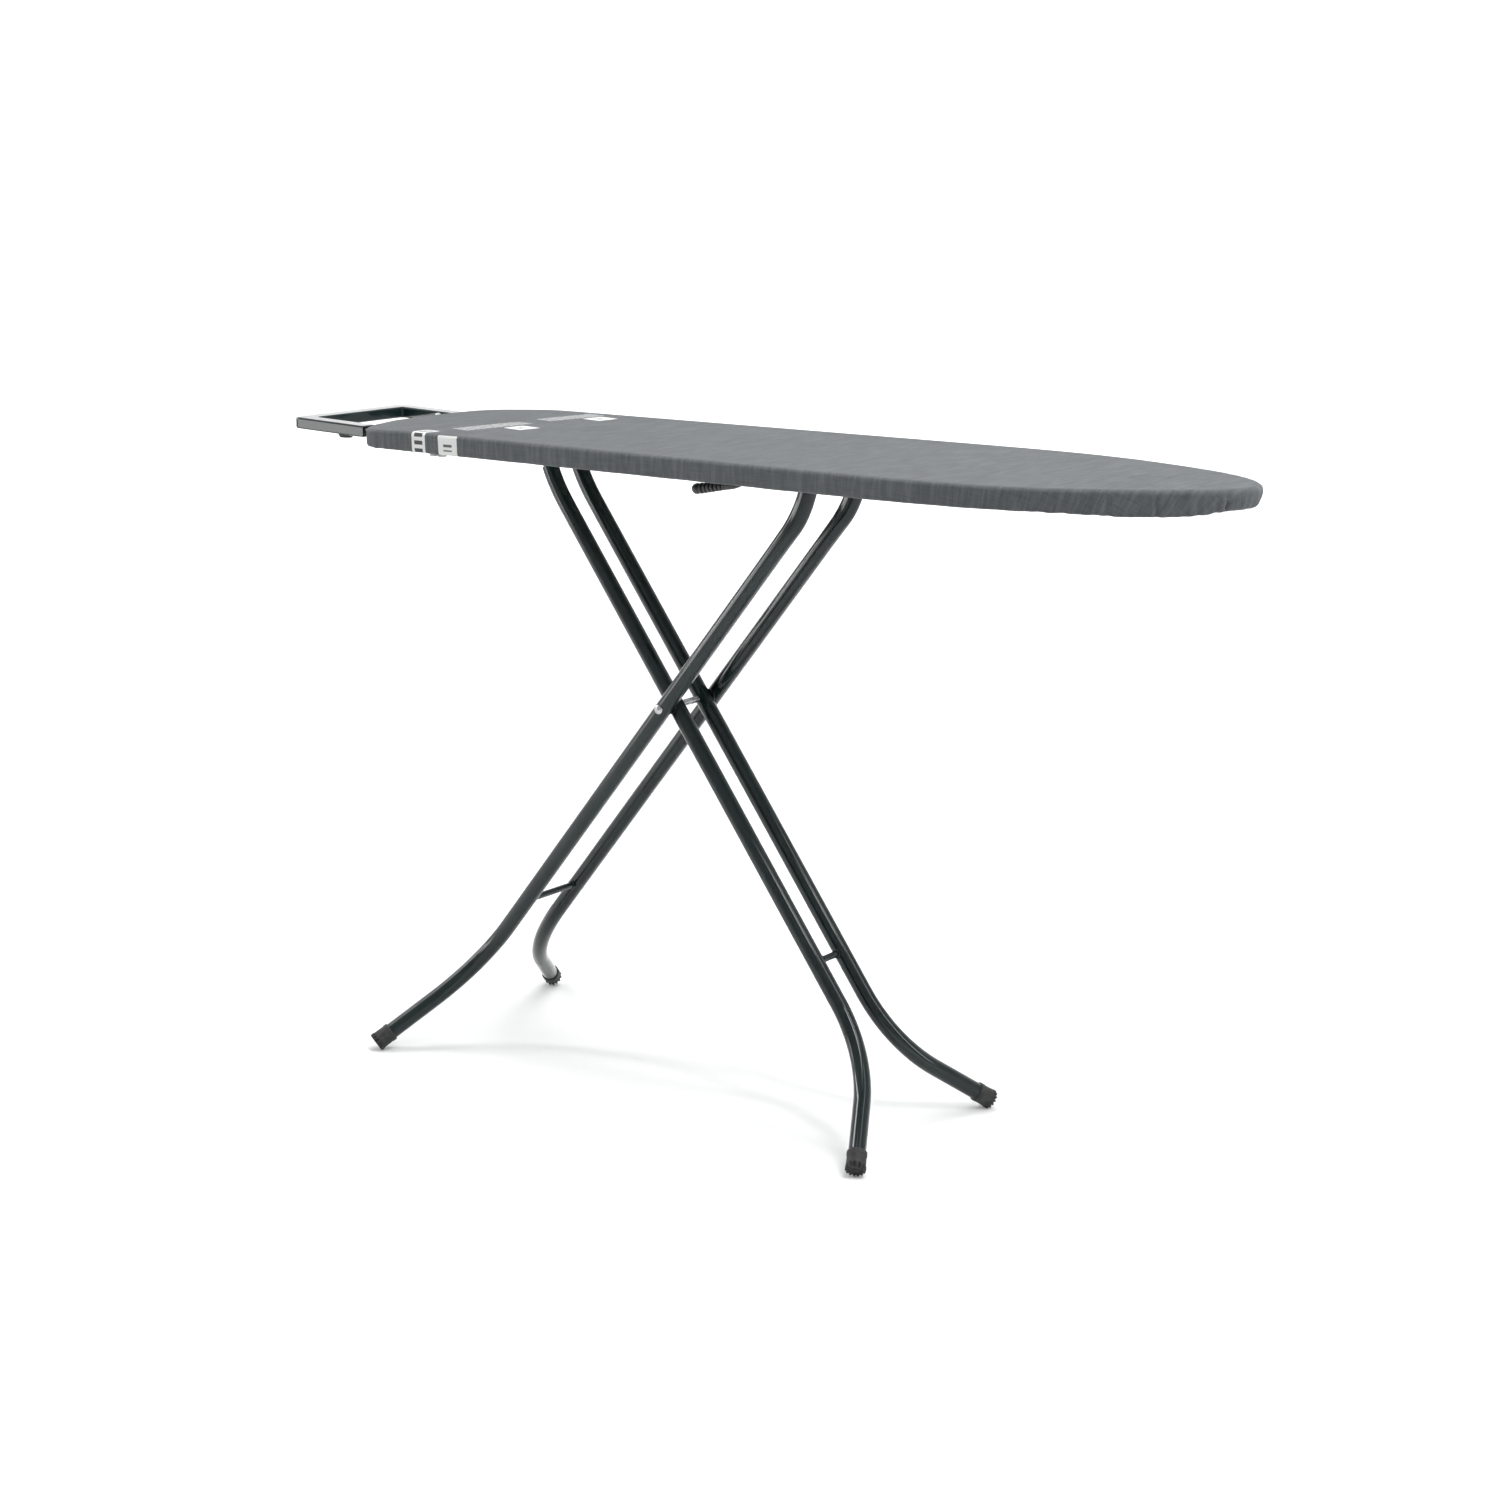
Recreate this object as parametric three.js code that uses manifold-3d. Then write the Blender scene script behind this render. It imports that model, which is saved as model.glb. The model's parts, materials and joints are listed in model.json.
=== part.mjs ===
// A folding ironing board: a padded, fabric-covered steel top on scissor legs, with an iron rest and a
// release lever. Millimetres, +Z up. The origin is on the floor under the middle of the whole length;
// +X points to the nose.

import * as THREE from "three";
import { mergeVertices } from "three/addons/utils/BufferGeometryUtils.js";
import Module from "manifold-3d";

const wasm = await Module();
wasm.setup();

// ---------------------------------------------------------------- driving dimensions

const LENGTH = 1284; // iron rest to nose
const TOP_Z = 777; // ironing surface above the floor
const NOSE_X = LENGTH / 2;
const REST_X = -LENGTH / 2;
const BOARD_END_X = -490; // straight part of the board's square end
const END_BULGE = 8;
const END_HALF_WIDTH = 141;
const END_CORNER_R = 44;
const MAX_HALF_WIDTH = 151.5;
const WIDEST_X = NOSE_X - 445;
const NOSE_PARABOLA = 90; // half width squared over distance from the tip
const NOSE_JOIN_HALF_WIDTH = 129;
const NOSE_JOIN_SLOPE = 0.3;

const FIT_GAP = 0.3; // between touching pieces
const HOLE_CLEARANCE = 0.3; // a hole's radius over its rod's

const COVER_T = 1.5;
const COVER_DEPTH = 24;
const COVER_EDGE_R = 6;
const PAD_T = 5.4;
const PANEL_T = 0.6;
const EDGE_TUBE = 12;
const EDGE_WALL = 0.9;
const NOSE_DRAW = 8; // how far the edge tube steps in under the nose

const PAD_TOP_Z = TOP_Z - COVER_T - FIT_GAP;
const PANEL_TOP_Z = PAD_TOP_Z - PAD_T - FIT_GAP;
const PANEL_BOTTOM_Z = PANEL_TOP_Z - PANEL_T;
const FRAME_TOP_Z = PANEL_BOTTOM_Z - FIT_GAP;

const TUBE_R = 10;
const TUBE_WALL = 1.2;
const PIVOT_X = -85;
const PIVOT_Z = 467.7;
const HINGE_Z = 746;
const HALF_SPREAD = 206; // hinge and slide rods stand this far each side of the pivot
const HINGE_X = PIVOT_X - HALF_SPREAD;
const SLIDE_X = PIVOT_X + HALF_SPREAD;
const LEG_REACH = Math.hypot(HALF_SPREAD, HINGE_Z - PIVOT_Z);
const FOLD_ANGLE = THREE.MathUtils.degToRad(49);
const OPEN_ANGLE = Math.atan2(HINGE_Z - PIVOT_Z, HALF_SPREAD);

// lean is the run per rise of the straight tube, and toward is the way its top leans along X.
// tongueZ is how far down inside the tube its tongue reaches.
const INNER_LEG = {
  toward: -1, lean: 0.743, halfGap: 25, topZ: 734, topBendZ: 690, topBendR: 200, tongueZ: 719,
  splayZ: 150.5, splayR: 160,
};
const OUTER_LEG = {
  toward: 1, lean: 0.826, halfGap: 46.5, topZ: 739, topBendZ: 690, topBendR: 130, tongueZ: 725,
  splayZ: 156.4, splayR: 180,
};
const SPLAY_ANGLE = THREE.MathUtils.degToRad(45.5);

const ROD_R = 4;
const RIVET_R = 2.6;
const SPACER_R = 3.9;
const RIVET_HEAD_R = 5.6;
const FOOT_R = 11.6;
const FOOT_LENGTH = 24.5;
const FOOT_BASE_T = 4;
const FOOT_FLAT = 0.6; // worn off the lowest edge
const FOOT_NOTCHES = 10;

const CROSSBAR_R = 4;
const INNER_CROSSBAR_Z = 193;
const OUTER_CROSSBAR_Z = 195;

const RAIL_X = [80, 416];
const RAIL_HALF_WIDTH = 12.4;
const RAIL_SHEET = 1.4;
const RAIL_BOTTOM_Z = HINGE_Z - 8;
const BRACE_T = 2;
const RAIL_TOP_Z = FRAME_TOP_Z - BRACE_T - FIT_GAP;
const LOCK_STEPS = 5;
const LOCK_STEP_ANGLE = THREE.MathUtils.degToRad(6);

const STRINGER_Y = 75;
const STRINGER_X = [-381, 416];
const STRINGER_LEG = 14;
const SHEET = 1.5;

const LEVER_X = 98;
const LEVER_Z = 755;
const LEVER_Y = -100;
const LEVER_WIRE_R = 3;
const GRIP_X = [6, 66];
const GRIP_TIP_Z = 736.5;
const GRIP_SLOPE = 0.14; // it rises toward the lever's axis
const GRIP_R = 6.2;

const REST_BAR_W = 22;
const REST_BAR_H = 14;
const REST_HALF_WIDTH = 95;
const REST_INNER_X = -518;
const REST_TOP_Z = 774;
const REST_TILT = 0.029; // the rest rises toward its outer end
const REST_BOLT_AT = [REST_INNER_X - 36, -6.2]; // along the bar, and below its top
const ARM_T = 3;
const ARM_W = 17;
const CHANNEL_X = [-420, -388];
const CHANNEL_BOTTOM_Z = 748.3;

const PAINT = { color: 0x141c1a, roughness: 0.25, metalness: 0.4 };
const ZINC = { color: 0xc9cbca, roughness: 0.35, metalness: 0.9 };
const RUBBER = { color: 0x16181a, roughness: 0.75, metalness: 0 };
const FABRIC = { color: 0x777b80, roughness: 0.95, metalness: 0 };
const FOAM = { color: 0xd8d4c6, roughness: 1, metalness: 0 };
const MESH_STEEL = { color: 0x8f9496, roughness: 0.5, metalness: 0.7 };
const PLASTIC = { color: 0x101112, roughness: 0.5, metalness: 0 };

const ironingBoard = new THREE.Group();

// ---------------------------------------------------------------- helpers

function add(name, finish, geometry) {
  const mesh = new THREE.Mesh(geometry, new THREE.MeshStandardMaterial(finish));
  mesh.name = name;
  ironingBoard.add(mesh);
  return mesh;
}

function solidOf(geometry) {
  const bare = geometry.index ? geometry.toNonIndexed() : geometry.clone();
  bare.deleteAttribute("normal");
  bare.deleteAttribute("uv");
  const merged = mergeVertices(bare, 1e-4);
  const vertProperties = merged.attributes.position.array;
  const triVerts = new Uint32Array(merged.index.array);
  return new wasm.Manifold(new wasm.Mesh({ numProp: 3, vertProperties, triVerts }));
}

function geometryOf(solid) {
  const mesh = solid.getMesh();
  const geometry = new THREE.BufferGeometry();
  geometry.setAttribute("position", new THREE.BufferAttribute(new Float32Array(mesh.vertProperties), 3));
  geometry.setIndex(new THREE.BufferAttribute(new Uint32Array(mesh.triVerts), 1));
  return geometry;
}

function cut(geometry, ...tools) {
  return geometryOf(tools.reduce((body, tool) => body.subtract(solidOf(tool)), solidOf(geometry)));
}

function join(...geometries) {
  return geometryOf(geometries.map(solidOf).reduce((a, b) => a.add(b)));
}

function box(x, y, z) {
  const geometry = new THREE.BoxGeometry(x[1] - x[0], y[1] - y[0], z[1] - z[0]);
  return geometry.translate((x[0] + x[1]) / 2, (y[0] + y[1]) / 2, (z[0] + z[1]) / 2);
}

// A round bar along Y.
function rodY(x, z, y, radius, sides = 20) {
  const geometry = new THREE.CylinderGeometry(radius, radius, y[1] - y[0], sides);
  return geometry.translate(x, (y[0] + y[1]) / 2, z);
}

// A round bar along Z.
function rodZ(x, y, z, radius, sides = 16) {
  const geometry = new THREE.CylinderGeometry(radius, radius, z[1] - z[0], sides);
  return geometry.rotateX(Math.PI / 2).translate(x, y, (z[0] + z[1]) / 2);
}

function ringY(x, z, y, outer, inner, sides = 20) {
  const half = (y[1] - y[0]) / 2;
  const profile = [[inner, -half], [outer, -half], [outer, half], [inner, half], [inner, -half]];
  const points = profile.map(([r, h]) => new THREE.Vector2(r, h));
  return new THREE.LatheGeometry(points, sides).translate(x, (y[0] + y[1]) / 2, z);
}

// A flat shape drawn in X and Z, with its thickness along Y.
function plateXZ(shape, y, curveSegments = 8) {
  const depth = y[1] - y[0];
  const geometry = new THREE.ExtrudeGeometry(shape, { depth, bevelEnabled: false, curveSegments });
  return geometry.rotateX(Math.PI / 2).translate(0, y[1], 0);
}

// A flat shape drawn in Y and Z, extruded along X.
function barX(shape, x) {
  const geometry = new THREE.ExtrudeGeometry(shape, { depth: x[1] - x[0], bevelEnabled: false });
  const turn = new THREE.Matrix4().makeBasis(
    new THREE.Vector3(0, 1, 0), new THREE.Vector3(0, 0, 1), new THREE.Vector3(1, 0, 0),
  );
  return geometry.applyMatrix4(turn).translate(x[0], 0, 0);
}

function polygon(points) {
  return new THREE.Shape(points.map(([a, b]) => new THREE.Vector2(a, b)));
}

// The outline round two equal circles.
function capsule(a, b, radius) {
  const angle = Math.atan2(b[1] - a[1], b[0] - a[0]);
  const shape = new THREE.Shape();
  shape.absarc(b[0], b[1], radius, angle - Math.PI / 2, angle + Math.PI / 2);
  shape.absarc(a[0], a[1], radius, angle + Math.PI / 2, angle + (3 * Math.PI) / 2);
  return shape;
}

function ringSection(outer, inner) {
  const shape = new THREE.Shape().absarc(0, 0, outer, 0, 2 * Math.PI);
  if (inner > 0) shape.holes.push(new THREE.Path().absarc(0, 0, inner, 0, 2 * Math.PI, true));
  return shape;
}

function squareSection(side, wall) {
  const square = (half) => [[-half, -half], [half, -half], [half, half], [-half, half]];
  const shape = polygon(square(side / 2));
  const hole = square(side / 2 - wall).map(([a, b]) => new THREE.Vector2(a, b));
  shape.holes.push(new THREE.Path(hole.reverse()));
  return shape;
}

// A path that puts one ring of an extrusion at each of its stations: points with their tangents.
class StationPath extends THREE.Curve {
  constructor(stations) {
    super();
    this.stations = stations;
  }
  getUtoTmapping(u) {
    return u;
  }
  blend(t, key, target) {
    const last = this.stations.length - 1;
    const place = Math.min(t, 1) * last;
    const index = Math.min(Math.floor(place + 1e-9), last - 1);
    return target.lerpVectors(this.stations[index][key], this.stations[index + 1][key], place - index);
  }
  getPoint(t, target = new THREE.Vector3()) {
    return this.blend(t, "point", target);
  }
  getTangent(t, target = new THREE.Vector3()) {
    return this.blend(t, "tangent", target).normalize();
  }
}

function sweep(section, stations, curveSegments = 8) {
  const extrudePath = new StationPath(stations);
  return new THREE.ExtrudeGeometry(section, { steps: stations.length - 1, extrudePath, curveSegments });
}

// Stations along a line of points, each with the mean direction of its neighbours.
function stationsThrough(points) {
  return points.map((point, i) => {
    const before = points[Math.max(i - 1, 0)];
    const after = points[Math.min(i + 1, points.length - 1)];
    return { point, tangent: after.clone().sub(before).normalize() };
  });
}

function range(count) {
  return Array.from({ length: count + 1 }, (_, i) => i / count);
}

// ---------------------------------------------------------------- board outline

// Half the outline, from the nose tip round to the middle of the square end.
function halfOutline() {
  const points = [];
  const joinX = NOSE_X - NOSE_JOIN_HALF_WIDTH ** 2 / NOSE_PARABOLA;
  for (const t of range(14)) {
    const y = NOSE_JOIN_HALF_WIDTH * t;
    points.push(new THREE.Vector2(NOSE_X - y ** 2 / NOSE_PARABOLA, y));
  }
  const run = joinX - WIDEST_X;
  for (const t of range(7).slice(1)) {
    const keep = 2 * t ** 3 - 3 * t ** 2 + 1;
    const rise = (t ** 3 - 2 * t ** 2 + t) * run * NOSE_JOIN_SLOPE;
    const y = keep * NOSE_JOIN_HALF_WIDTH + rise + (1 - keep) * MAX_HALF_WIDTH;
    points.push(new THREE.Vector2(joinX - run * t, y));
  }
  const cornerX = BOARD_END_X + END_CORNER_R;
  points.push(new THREE.Vector2(cornerX, END_HALF_WIDTH));
  const cornerY = END_HALF_WIDTH - END_CORNER_R;
  for (const t of range(6).slice(1)) {
    const angle = (t * Math.PI) / 2;
    const x = cornerX - END_CORNER_R * Math.sin(angle);
    points.push(new THREE.Vector2(x, cornerY + END_CORNER_R * Math.cos(angle)));
  }
  for (const t of range(4).slice(1)) {
    const y = cornerY * (1 - t);
    points.push(new THREE.Vector2(BOARD_END_X - END_BULGE * (1 - (y / cornerY) ** 2), y));
  }
  return points;
}

function mirroredOutline(half) {
  const other = half.slice(1, -1).reverse().map((p) => new THREE.Vector2(p.x, -p.y));
  return [...half, ...other];
}

// The outline moved inward by a distance, along the normal at each point.
function insetOutline(distance, extra = () => 0) {
  const ring = mirroredOutline(halfOutline());
  return ring.map((p, i) => {
    const before = ring[(i + ring.length - 1) % ring.length];
    const after = ring[(i + 1) % ring.length];
    const along = after.clone().sub(before).normalize();
    const inset = distance + extra(p.x);
    return new THREE.Vector2(p.x - along.y * inset, p.y + along.x * inset);
  });
}

function slab(inset, z) {
  const shape = new THREE.Shape(insetOutline(inset));
  const geometry = new THREE.ExtrudeGeometry(shape, { depth: z[1] - z[0], bevelEnabled: false });
  return geometry.translate(0, 0, z[0]);
}

// ---------------------------------------------------------------- cover, pad, panel and edge tube

function makeCover() {
  const shape = new THREE.Shape(insetOutline(COVER_EDGE_R));
  const rounded = new THREE.ExtrudeGeometry(shape, {
    depth: 2 * COVER_DEPTH,
    bevelEnabled: true,
    bevelSize: COVER_EDGE_R,
    bevelThickness: COVER_EDGE_R,
    bevelSegments: 2,
  }).translate(0, 0, TOP_Z - COVER_EDGE_R - 2 * COVER_DEPTH);
  const hemZ = TOP_Z - COVER_DEPTH;
  const below = box([-LENGTH, LENGTH], [-LENGTH, LENGTH], [hemZ - 4 * COVER_DEPTH, hemZ]);
  const inside = slab(COVER_T, [hemZ - 1, TOP_Z - COVER_EDGE_R]);
  const step = slab(COVER_EDGE_R - 1, [TOP_Z - COVER_EDGE_R - 1, TOP_Z - COVER_T]);
  return cut(rounded, below, inside, step);
}

// The edge tube draws in under the nose, where the cover's elastic pulls the hem in.
function noseDraw(x) {
  return NOSE_DRAW * THREE.MathUtils.smoothstep(x, NOSE_X - 165, NOSE_X - 20);
}

// A stretch of the edge tube, following the outline between two of its points.
function edgeStretch(from, to) {
  const ring = insetOutline(COVER_T + FIT_GAP + EDGE_TUBE / 2 + 1, noseDraw);
  const z = FRAME_TOP_Z - EDGE_TUBE / 2;
  const points = [];
  for (let i = from; i <= to; i += 1) {
    const p = ring[(i + ring.length) % ring.length];
    points.push(new THREE.Vector3(p.x, p.y, z));
  }
  return sweep(squareSection(EDGE_TUBE, EDGE_WALL), stationsThrough(points));
}

function makeTop() {
  add("cover", FABRIC, makeCover());
  add("underpad", FOAM, slab(COVER_EDGE_R - 0.5, [PANEL_TOP_Z + FIT_GAP, PAD_TOP_Z]));
  add("top_panel", MESH_STEEL, slab(COVER_T + 0.8, [PANEL_BOTTOM_Z, PANEL_TOP_Z]));
  const half = halfOutline().length - 1;
  const noseEnd = 14;
  const cornerStart = 14 + 7 + 1;
  const keep = (geometry, x) => {
    const window = box(x, [-LENGTH, LENGTH], [0, 2 * TOP_Z]);
    return geometryOf(solidOf(geometry).intersect(solidOf(window)));
  };
  const joins = [halfOutline()[cornerStart].x, halfOutline()[noseEnd].x];
  const full = 2 * half;
  const middle = [joins[0] + FIT_GAP / 2, joins[1] - FIT_GAP / 2];
  const nose = [joins[1] + FIT_GAP / 2, LENGTH];
  add("edge_tube_left", PAINT, keep(edgeStretch(noseEnd - 1, cornerStart + 1), middle));
  add("edge_tube_right", PAINT, keep(edgeStretch(full - cornerStart - 1, full - noseEnd + 1), middle));
  add("edge_tube_nose", PAINT, keep(edgeStretch(-noseEnd - 1, noseEnd + 1), nose));
  const rear = [-LENGTH, joins[0] - FIT_GAP / 2];
  add("edge_tube_rear", PAINT, keep(edgeStretch(cornerStart - 1, full - cornerStart + 1), rear));
}

// ---------------------------------------------------------------- steel under the panel

function makeUnderframe() {
  for (const [side, sign] of [["left", 1], ["right", -1]]) {
    const y = sign * STRINGER_Y;
    const web = y + sign * SHEET;
    const flange = y + sign * STRINGER_LEG;
    const low = FRAME_TOP_Z - STRINGER_LEG;
    const fold = FRAME_TOP_Z - SHEET;
    const angle = polygon([
      [y, low], [web, low], [web, fold], [flange, fold], [flange, FRAME_TOP_Z], [y, FRAME_TOP_Z],
    ]);
    const notch = rodY(LEVER_X, LEVER_Z, [LEVER_Y, 0], LEVER_WIRE_R + HOLE_CLEARANCE);
    add(`stringer_${side}`, PAINT, cut(barX(angle, STRINGER_X), notch));
  }
  const inside = [-STRINGER_Y + FIT_GAP, STRINGER_Y - FIT_GAP];
  const braces = {
    hinge_brace: [HINGE_X - 22, HINGE_X + 24],
    rail_brace_rear: [RAIL_X[0] - 2, RAIL_X[0] + 22],
    rail_brace_front: [RAIL_X[1] - 22, RAIL_X[1]],
  };
  for (const [name, x] of Object.entries(braces)) {
    add(name, PAINT, box(x, inside, [FRAME_TOP_Z - BRACE_T, FRAME_TOP_Z]));
  }
}

const TONGUE_T = 4;
const TONGUE_HALF_WIDTH = 3.3;
const TONGUE_EYE_R = 6.6;
const EAR_Y = INNER_LEG.halfGap + TUBE_R + 1;
const EAR_T = 2.5;

function makeHinge() {
  const baseTop = FRAME_TOP_Z - BRACE_T - FIT_GAP;
  for (const [side, sign] of [["left", 1], ["right", -1]]) {
    const span = (a, b) => [sign * a, sign * b].sort((p, q) => p - q);
    const ear = new THREE.Shape();
    ear.moveTo(HINGE_X + 13, baseTop);
    ear.lineTo(HINGE_X - 13, baseTop);
    ear.absarc(HINGE_X, HINGE_Z, 10, Math.PI, 2 * Math.PI);
    const plate = plateXZ(ear, span(EAR_Y, EAR_Y + EAR_T));
    const foot = box([HINGE_X - 13, HINGE_X + 13], span(EAR_Y, EAR_Y + 18), [baseTop - EAR_T, baseTop]);
    const hole = rodY(HINGE_X, HINGE_Z, span(EAR_Y - 5, EAR_Y + 12), ROD_R + HOLE_CLEARANCE);
    add(`hinge_bracket_${side}`, PAINT, cut(join(plate, foot), hole));
    const clipY = EAR_Y + EAR_T + FIT_GAP;
    const clip = ringY(HINGE_X, HINGE_Z, span(clipY, clipY + 1.5), 7, ROD_R + HOLE_CLEARANCE);
    add(`hinge_clip_${side}`, ZINC, clip);
  }
  const reach = EAR_Y + EAR_T + 4;
  add("hinge_rod", ZINC, rodY(HINGE_X, HINGE_Z, [-reach, reach], ROD_R));
}

// Where the slide rod stands when the legs have folded by an angle.
function slideAt(angle) {
  return HINGE_X + 2 * LEG_REACH * Math.cos(OPEN_ANGLE - angle);
}

// An upside-down channel with a long slot in both sides, notched where the slide rod locks.
function makeRail() {
  const half = RAIL_HALF_WIDTH;
  const inner = half - RAIL_SHEET;
  const top = RAIL_TOP_Z;
  const channel = barX(polygon([
    [-half, RAIL_BOTTOM_Z], [-inner, RAIL_BOTTOM_Z], [-inner, top - RAIL_SHEET], [inner, top - RAIL_SHEET],
    [inner, RAIL_BOTTOM_Z], [half, RAIL_BOTTOM_Z], [half, top], [-half, top],
  ]), RAIL_X);
  const slotR = ROD_R + 2 * HOLE_CLEARANCE;
  const through = [-half - 1, half + 1];
  const slot = plateXZ(capsule([SLIDE_X, HINGE_Z], [slideAt(FOLD_ANGLE) + 1, HINGE_Z], slotR), through);
  const notches = range(LOCK_STEPS - 1).map((t) => {
    const angle = t * (LOCK_STEPS - 1) * LOCK_STEP_ANGLE;
    return rodY(slideAt(angle), HINGE_Z + 3, through, slotR);
  });
  const wireHole = rodY(LEVER_X, LEVER_Z, through, LEVER_WIRE_R + HOLE_CLEARANCE);
  add("height_rail", ZINC, cut(channel, slot, ...notches, wireHole));
}

// ---------------------------------------------------------------- release lever

const LEVER_BRACKET_Y = [-STRINGER_Y + 1, -STRINGER_Y + 3];

function gripZ(x) {
  return GRIP_TIP_Z + GRIP_SLOPE * (x - GRIP_X[0]);
}

// The wire leaves the grip, climbs behind the skirt, and turns across the board through the rail.
function leverWirePoints() {
  const bend = 9;
  const climbX = GRIP_X[1] + 4;
  const tip = new THREE.Vector3(GRIP_X[0] + 6, LEVER_Y, gripZ(GRIP_X[0] + 6));
  const foot = new THREE.Vector3(climbX - 3, LEVER_Y, gripZ(climbX - 3));
  const climb = new THREE.Vector3(climbX + 1, LEVER_Y, gripZ(climbX) + 1);
  const top = new THREE.Vector3(LEVER_X - bend - 3, LEVER_Y, LEVER_Z - 1);
  const turn = range(4).map((t) => {
    const angle = (t * Math.PI) / 2;
    const x = LEVER_X - bend + bend * Math.sin(angle);
    return new THREE.Vector3(x, LEVER_Y + bend - bend * Math.cos(angle), LEVER_Z);
  });
  return [tip, foot, climb, top, ...turn, new THREE.Vector3(LEVER_X, RAIL_HALF_WIDTH + 4, LEVER_Z)];
}

// A hollow handle on the lever's long arm, fattest near its tip.
function makeGrip() {
  const length = GRIP_X[1] - GRIP_X[0];
  const bore = LEVER_WIRE_R + HOLE_CLEARANCE;
  const profile = [
    [0, 0], [GRIP_R * 0.62, 0.8], [GRIP_R, 4], [GRIP_R, length * 0.3], [GRIP_R - 1.9, length],
    [bore, length], [bore, 5], [0, 5],
  ];
  const points = profile.map(([r, h]) => new THREE.Vector2(r, h));
  const grip = new THREE.LatheGeometry(points, 14);
  grip.rotateZ(-Math.PI / 2).rotateY(-Math.atan(GRIP_SLOPE));
  return grip.translate(GRIP_X[0], LEVER_Y, GRIP_TIP_Z);
}

function makeLever() {
  const hole = LEVER_WIRE_R + HOLE_CLEARANCE;
  add("lever_wire", PAINT, sweep(ringSection(LEVER_WIRE_R, 0), stationsThrough(leverWirePoints()), 6));
  add("lever_grip", PLASTIC, makeGrip());

  const low = RAIL_BOTTOM_Z - 6;
  const pawl = polygon([
    [LEVER_X - 6, LEVER_Z + 6], [LEVER_X - 6, low + 6], [LEVER_X, low], [SLIDE_X + 14, low],
    [SLIDE_X + 14, low + 5.5], [SLIDE_X + 8, low + 3.5], [LEVER_X + 6, low + 4.5],
    [LEVER_X + 6, LEVER_Z + 6],
  ]);
  add("lever_pawl", ZINC, cut(plateXZ(pawl, [-4, 4]), rodY(LEVER_X, LEVER_Z, [-9, 9], hole, 16)));

  const holder = box([LEVER_X - 10, LEVER_X + 10], LEVER_BRACKET_Y, [LEVER_Z - 7, FRAME_TOP_Z - BRACE_T]);
  add("lever_bracket", PAINT, cut(holder, rodY(LEVER_X, LEVER_Z, [-90, -60], hole, 16)));

  const turns = 5;
  const coil = range(turns * 9).map((t) => {
    const angle = 2 * Math.PI * turns * t;
    const y = -60 + 14 * t;
    return new THREE.Vector3(LEVER_X + 5 * Math.cos(angle), y, LEVER_Z + 5 * Math.sin(angle));
  });
  add("lever_spring", ZINC, sweep(ringSection(0.8, 0), stationsThrough(coil), 3));
}

// ---------------------------------------------------------------- iron rest

function restTopAt(x) {
  return REST_TOP_Z - REST_TILT * (x - REST_X);
}

// The plan of the rest's three-sided loop: inset draws it smaller, reach lengthens its open ends.
function restPlan(inset, reach) {
  const outer = REST_HALF_WIDTH - inset;
  const inner = REST_HALF_WIDTH - REST_BAR_W + inset;
  const near = REST_X + inset;
  const far = REST_X + REST_BAR_W - inset;
  const end = REST_INNER_X + reach;
  const outerR = 8 - inset / 2;
  const innerR = 4 + inset / 2;
  const shape = new THREE.Shape();
  shape.moveTo(end, -outer);
  shape.lineTo(end, -inner);
  shape.lineTo(far + innerR, -inner);
  shape.absarc(far + innerR, -inner + innerR, innerR, -Math.PI / 2, -Math.PI, true);
  shape.absarc(far + innerR, inner - innerR, innerR, Math.PI, Math.PI / 2, true);
  shape.lineTo(end, inner);
  shape.lineTo(end, outer);
  shape.lineTo(near + outerR, outer);
  shape.absarc(near + outerR, outer - outerR, outerR, Math.PI / 2, Math.PI);
  shape.absarc(near + outerR, -outer + outerR, outerR, Math.PI, (3 * Math.PI) / 2);
  return shape;
}

// Leans a rest piece about the outer end's top edge.
function leaned(geometry) {
  const lift = new THREE.Matrix4().makeTranslation(REST_X, 0, REST_TOP_Z);
  const turn = new THREE.Matrix4().makeRotationY(Math.atan(REST_TILT));
  const toEnd = new THREE.Matrix4().makeTranslation(-REST_X, 0, 0);
  return geometry.applyMatrix4(lift.multiply(turn).multiply(toEnd));
}

function makeRestFrame() {
  const edge = 2;
  const skin = new THREE.ExtrudeGeometry(restPlan(edge, -edge), {
    depth: REST_BAR_H - 2 * edge,
    bevelEnabled: true,
    bevelSize: edge,
    bevelThickness: edge,
    bevelSegments: 2,
    curveSegments: 3,
  }).translate(0, 0, edge - REST_BAR_H);
  const wall = 1.4;
  const hollow = new THREE.ExtrudeGeometry(restPlan(wall, 5), {
    depth: REST_BAR_H - 2 * wall - 1, bevelEnabled: false, curveSegments: 3,
  }).translate(0, 0, wall + 0.5 - REST_BAR_H);
  const barY = REST_HALF_WIDTH - REST_BAR_W / 2;
  const holes = [-1, 1].map((sign) => {
    const y = [sign * (barY - REST_BAR_W), sign * barY].sort((a, b) => a - b);
    return rodY(REST_BOLT_AT[0], REST_BOLT_AT[1], y, 2.5 + HOLE_CLEARANCE, 12);
  });
  return leaned(cut(skin, hollow, ...holes));
}

// A joggled strap: inside the rest's tube, down past the cover's hem, then flat under the mounting channel.
function makeRestArm(y) {
  const start = REST_INNER_X - 30;
  const knee = REST_INNER_X + 7;
  const insideTop = (x) => restTopAt(x) - 2.6;
  const low = CHANNEL_BOTTOM_Z - FIT_GAP;
  const footX = knee + 12;
  const end = CHANNEL_X[1] - 2;
  const strap = polygon([
    [start, insideTop(start)], [start, insideTop(start) - ARM_T], [knee - 2, insideTop(knee) - ARM_T],
    [footX - 2, low - ARM_T], [end, low - ARM_T], [end, low], [footX, low], [knee, insideTop(knee)],
  ]);
  const middle = (y[0] + y[1]) / 2;
  const holes = REST_BOLT_X.map((x) => rodZ(x, middle, [low - 9, low + 9], 3 + HOLE_CLEARANCE, 12));
  return cut(plateXZ(strap, y), ...holes);
}

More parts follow.
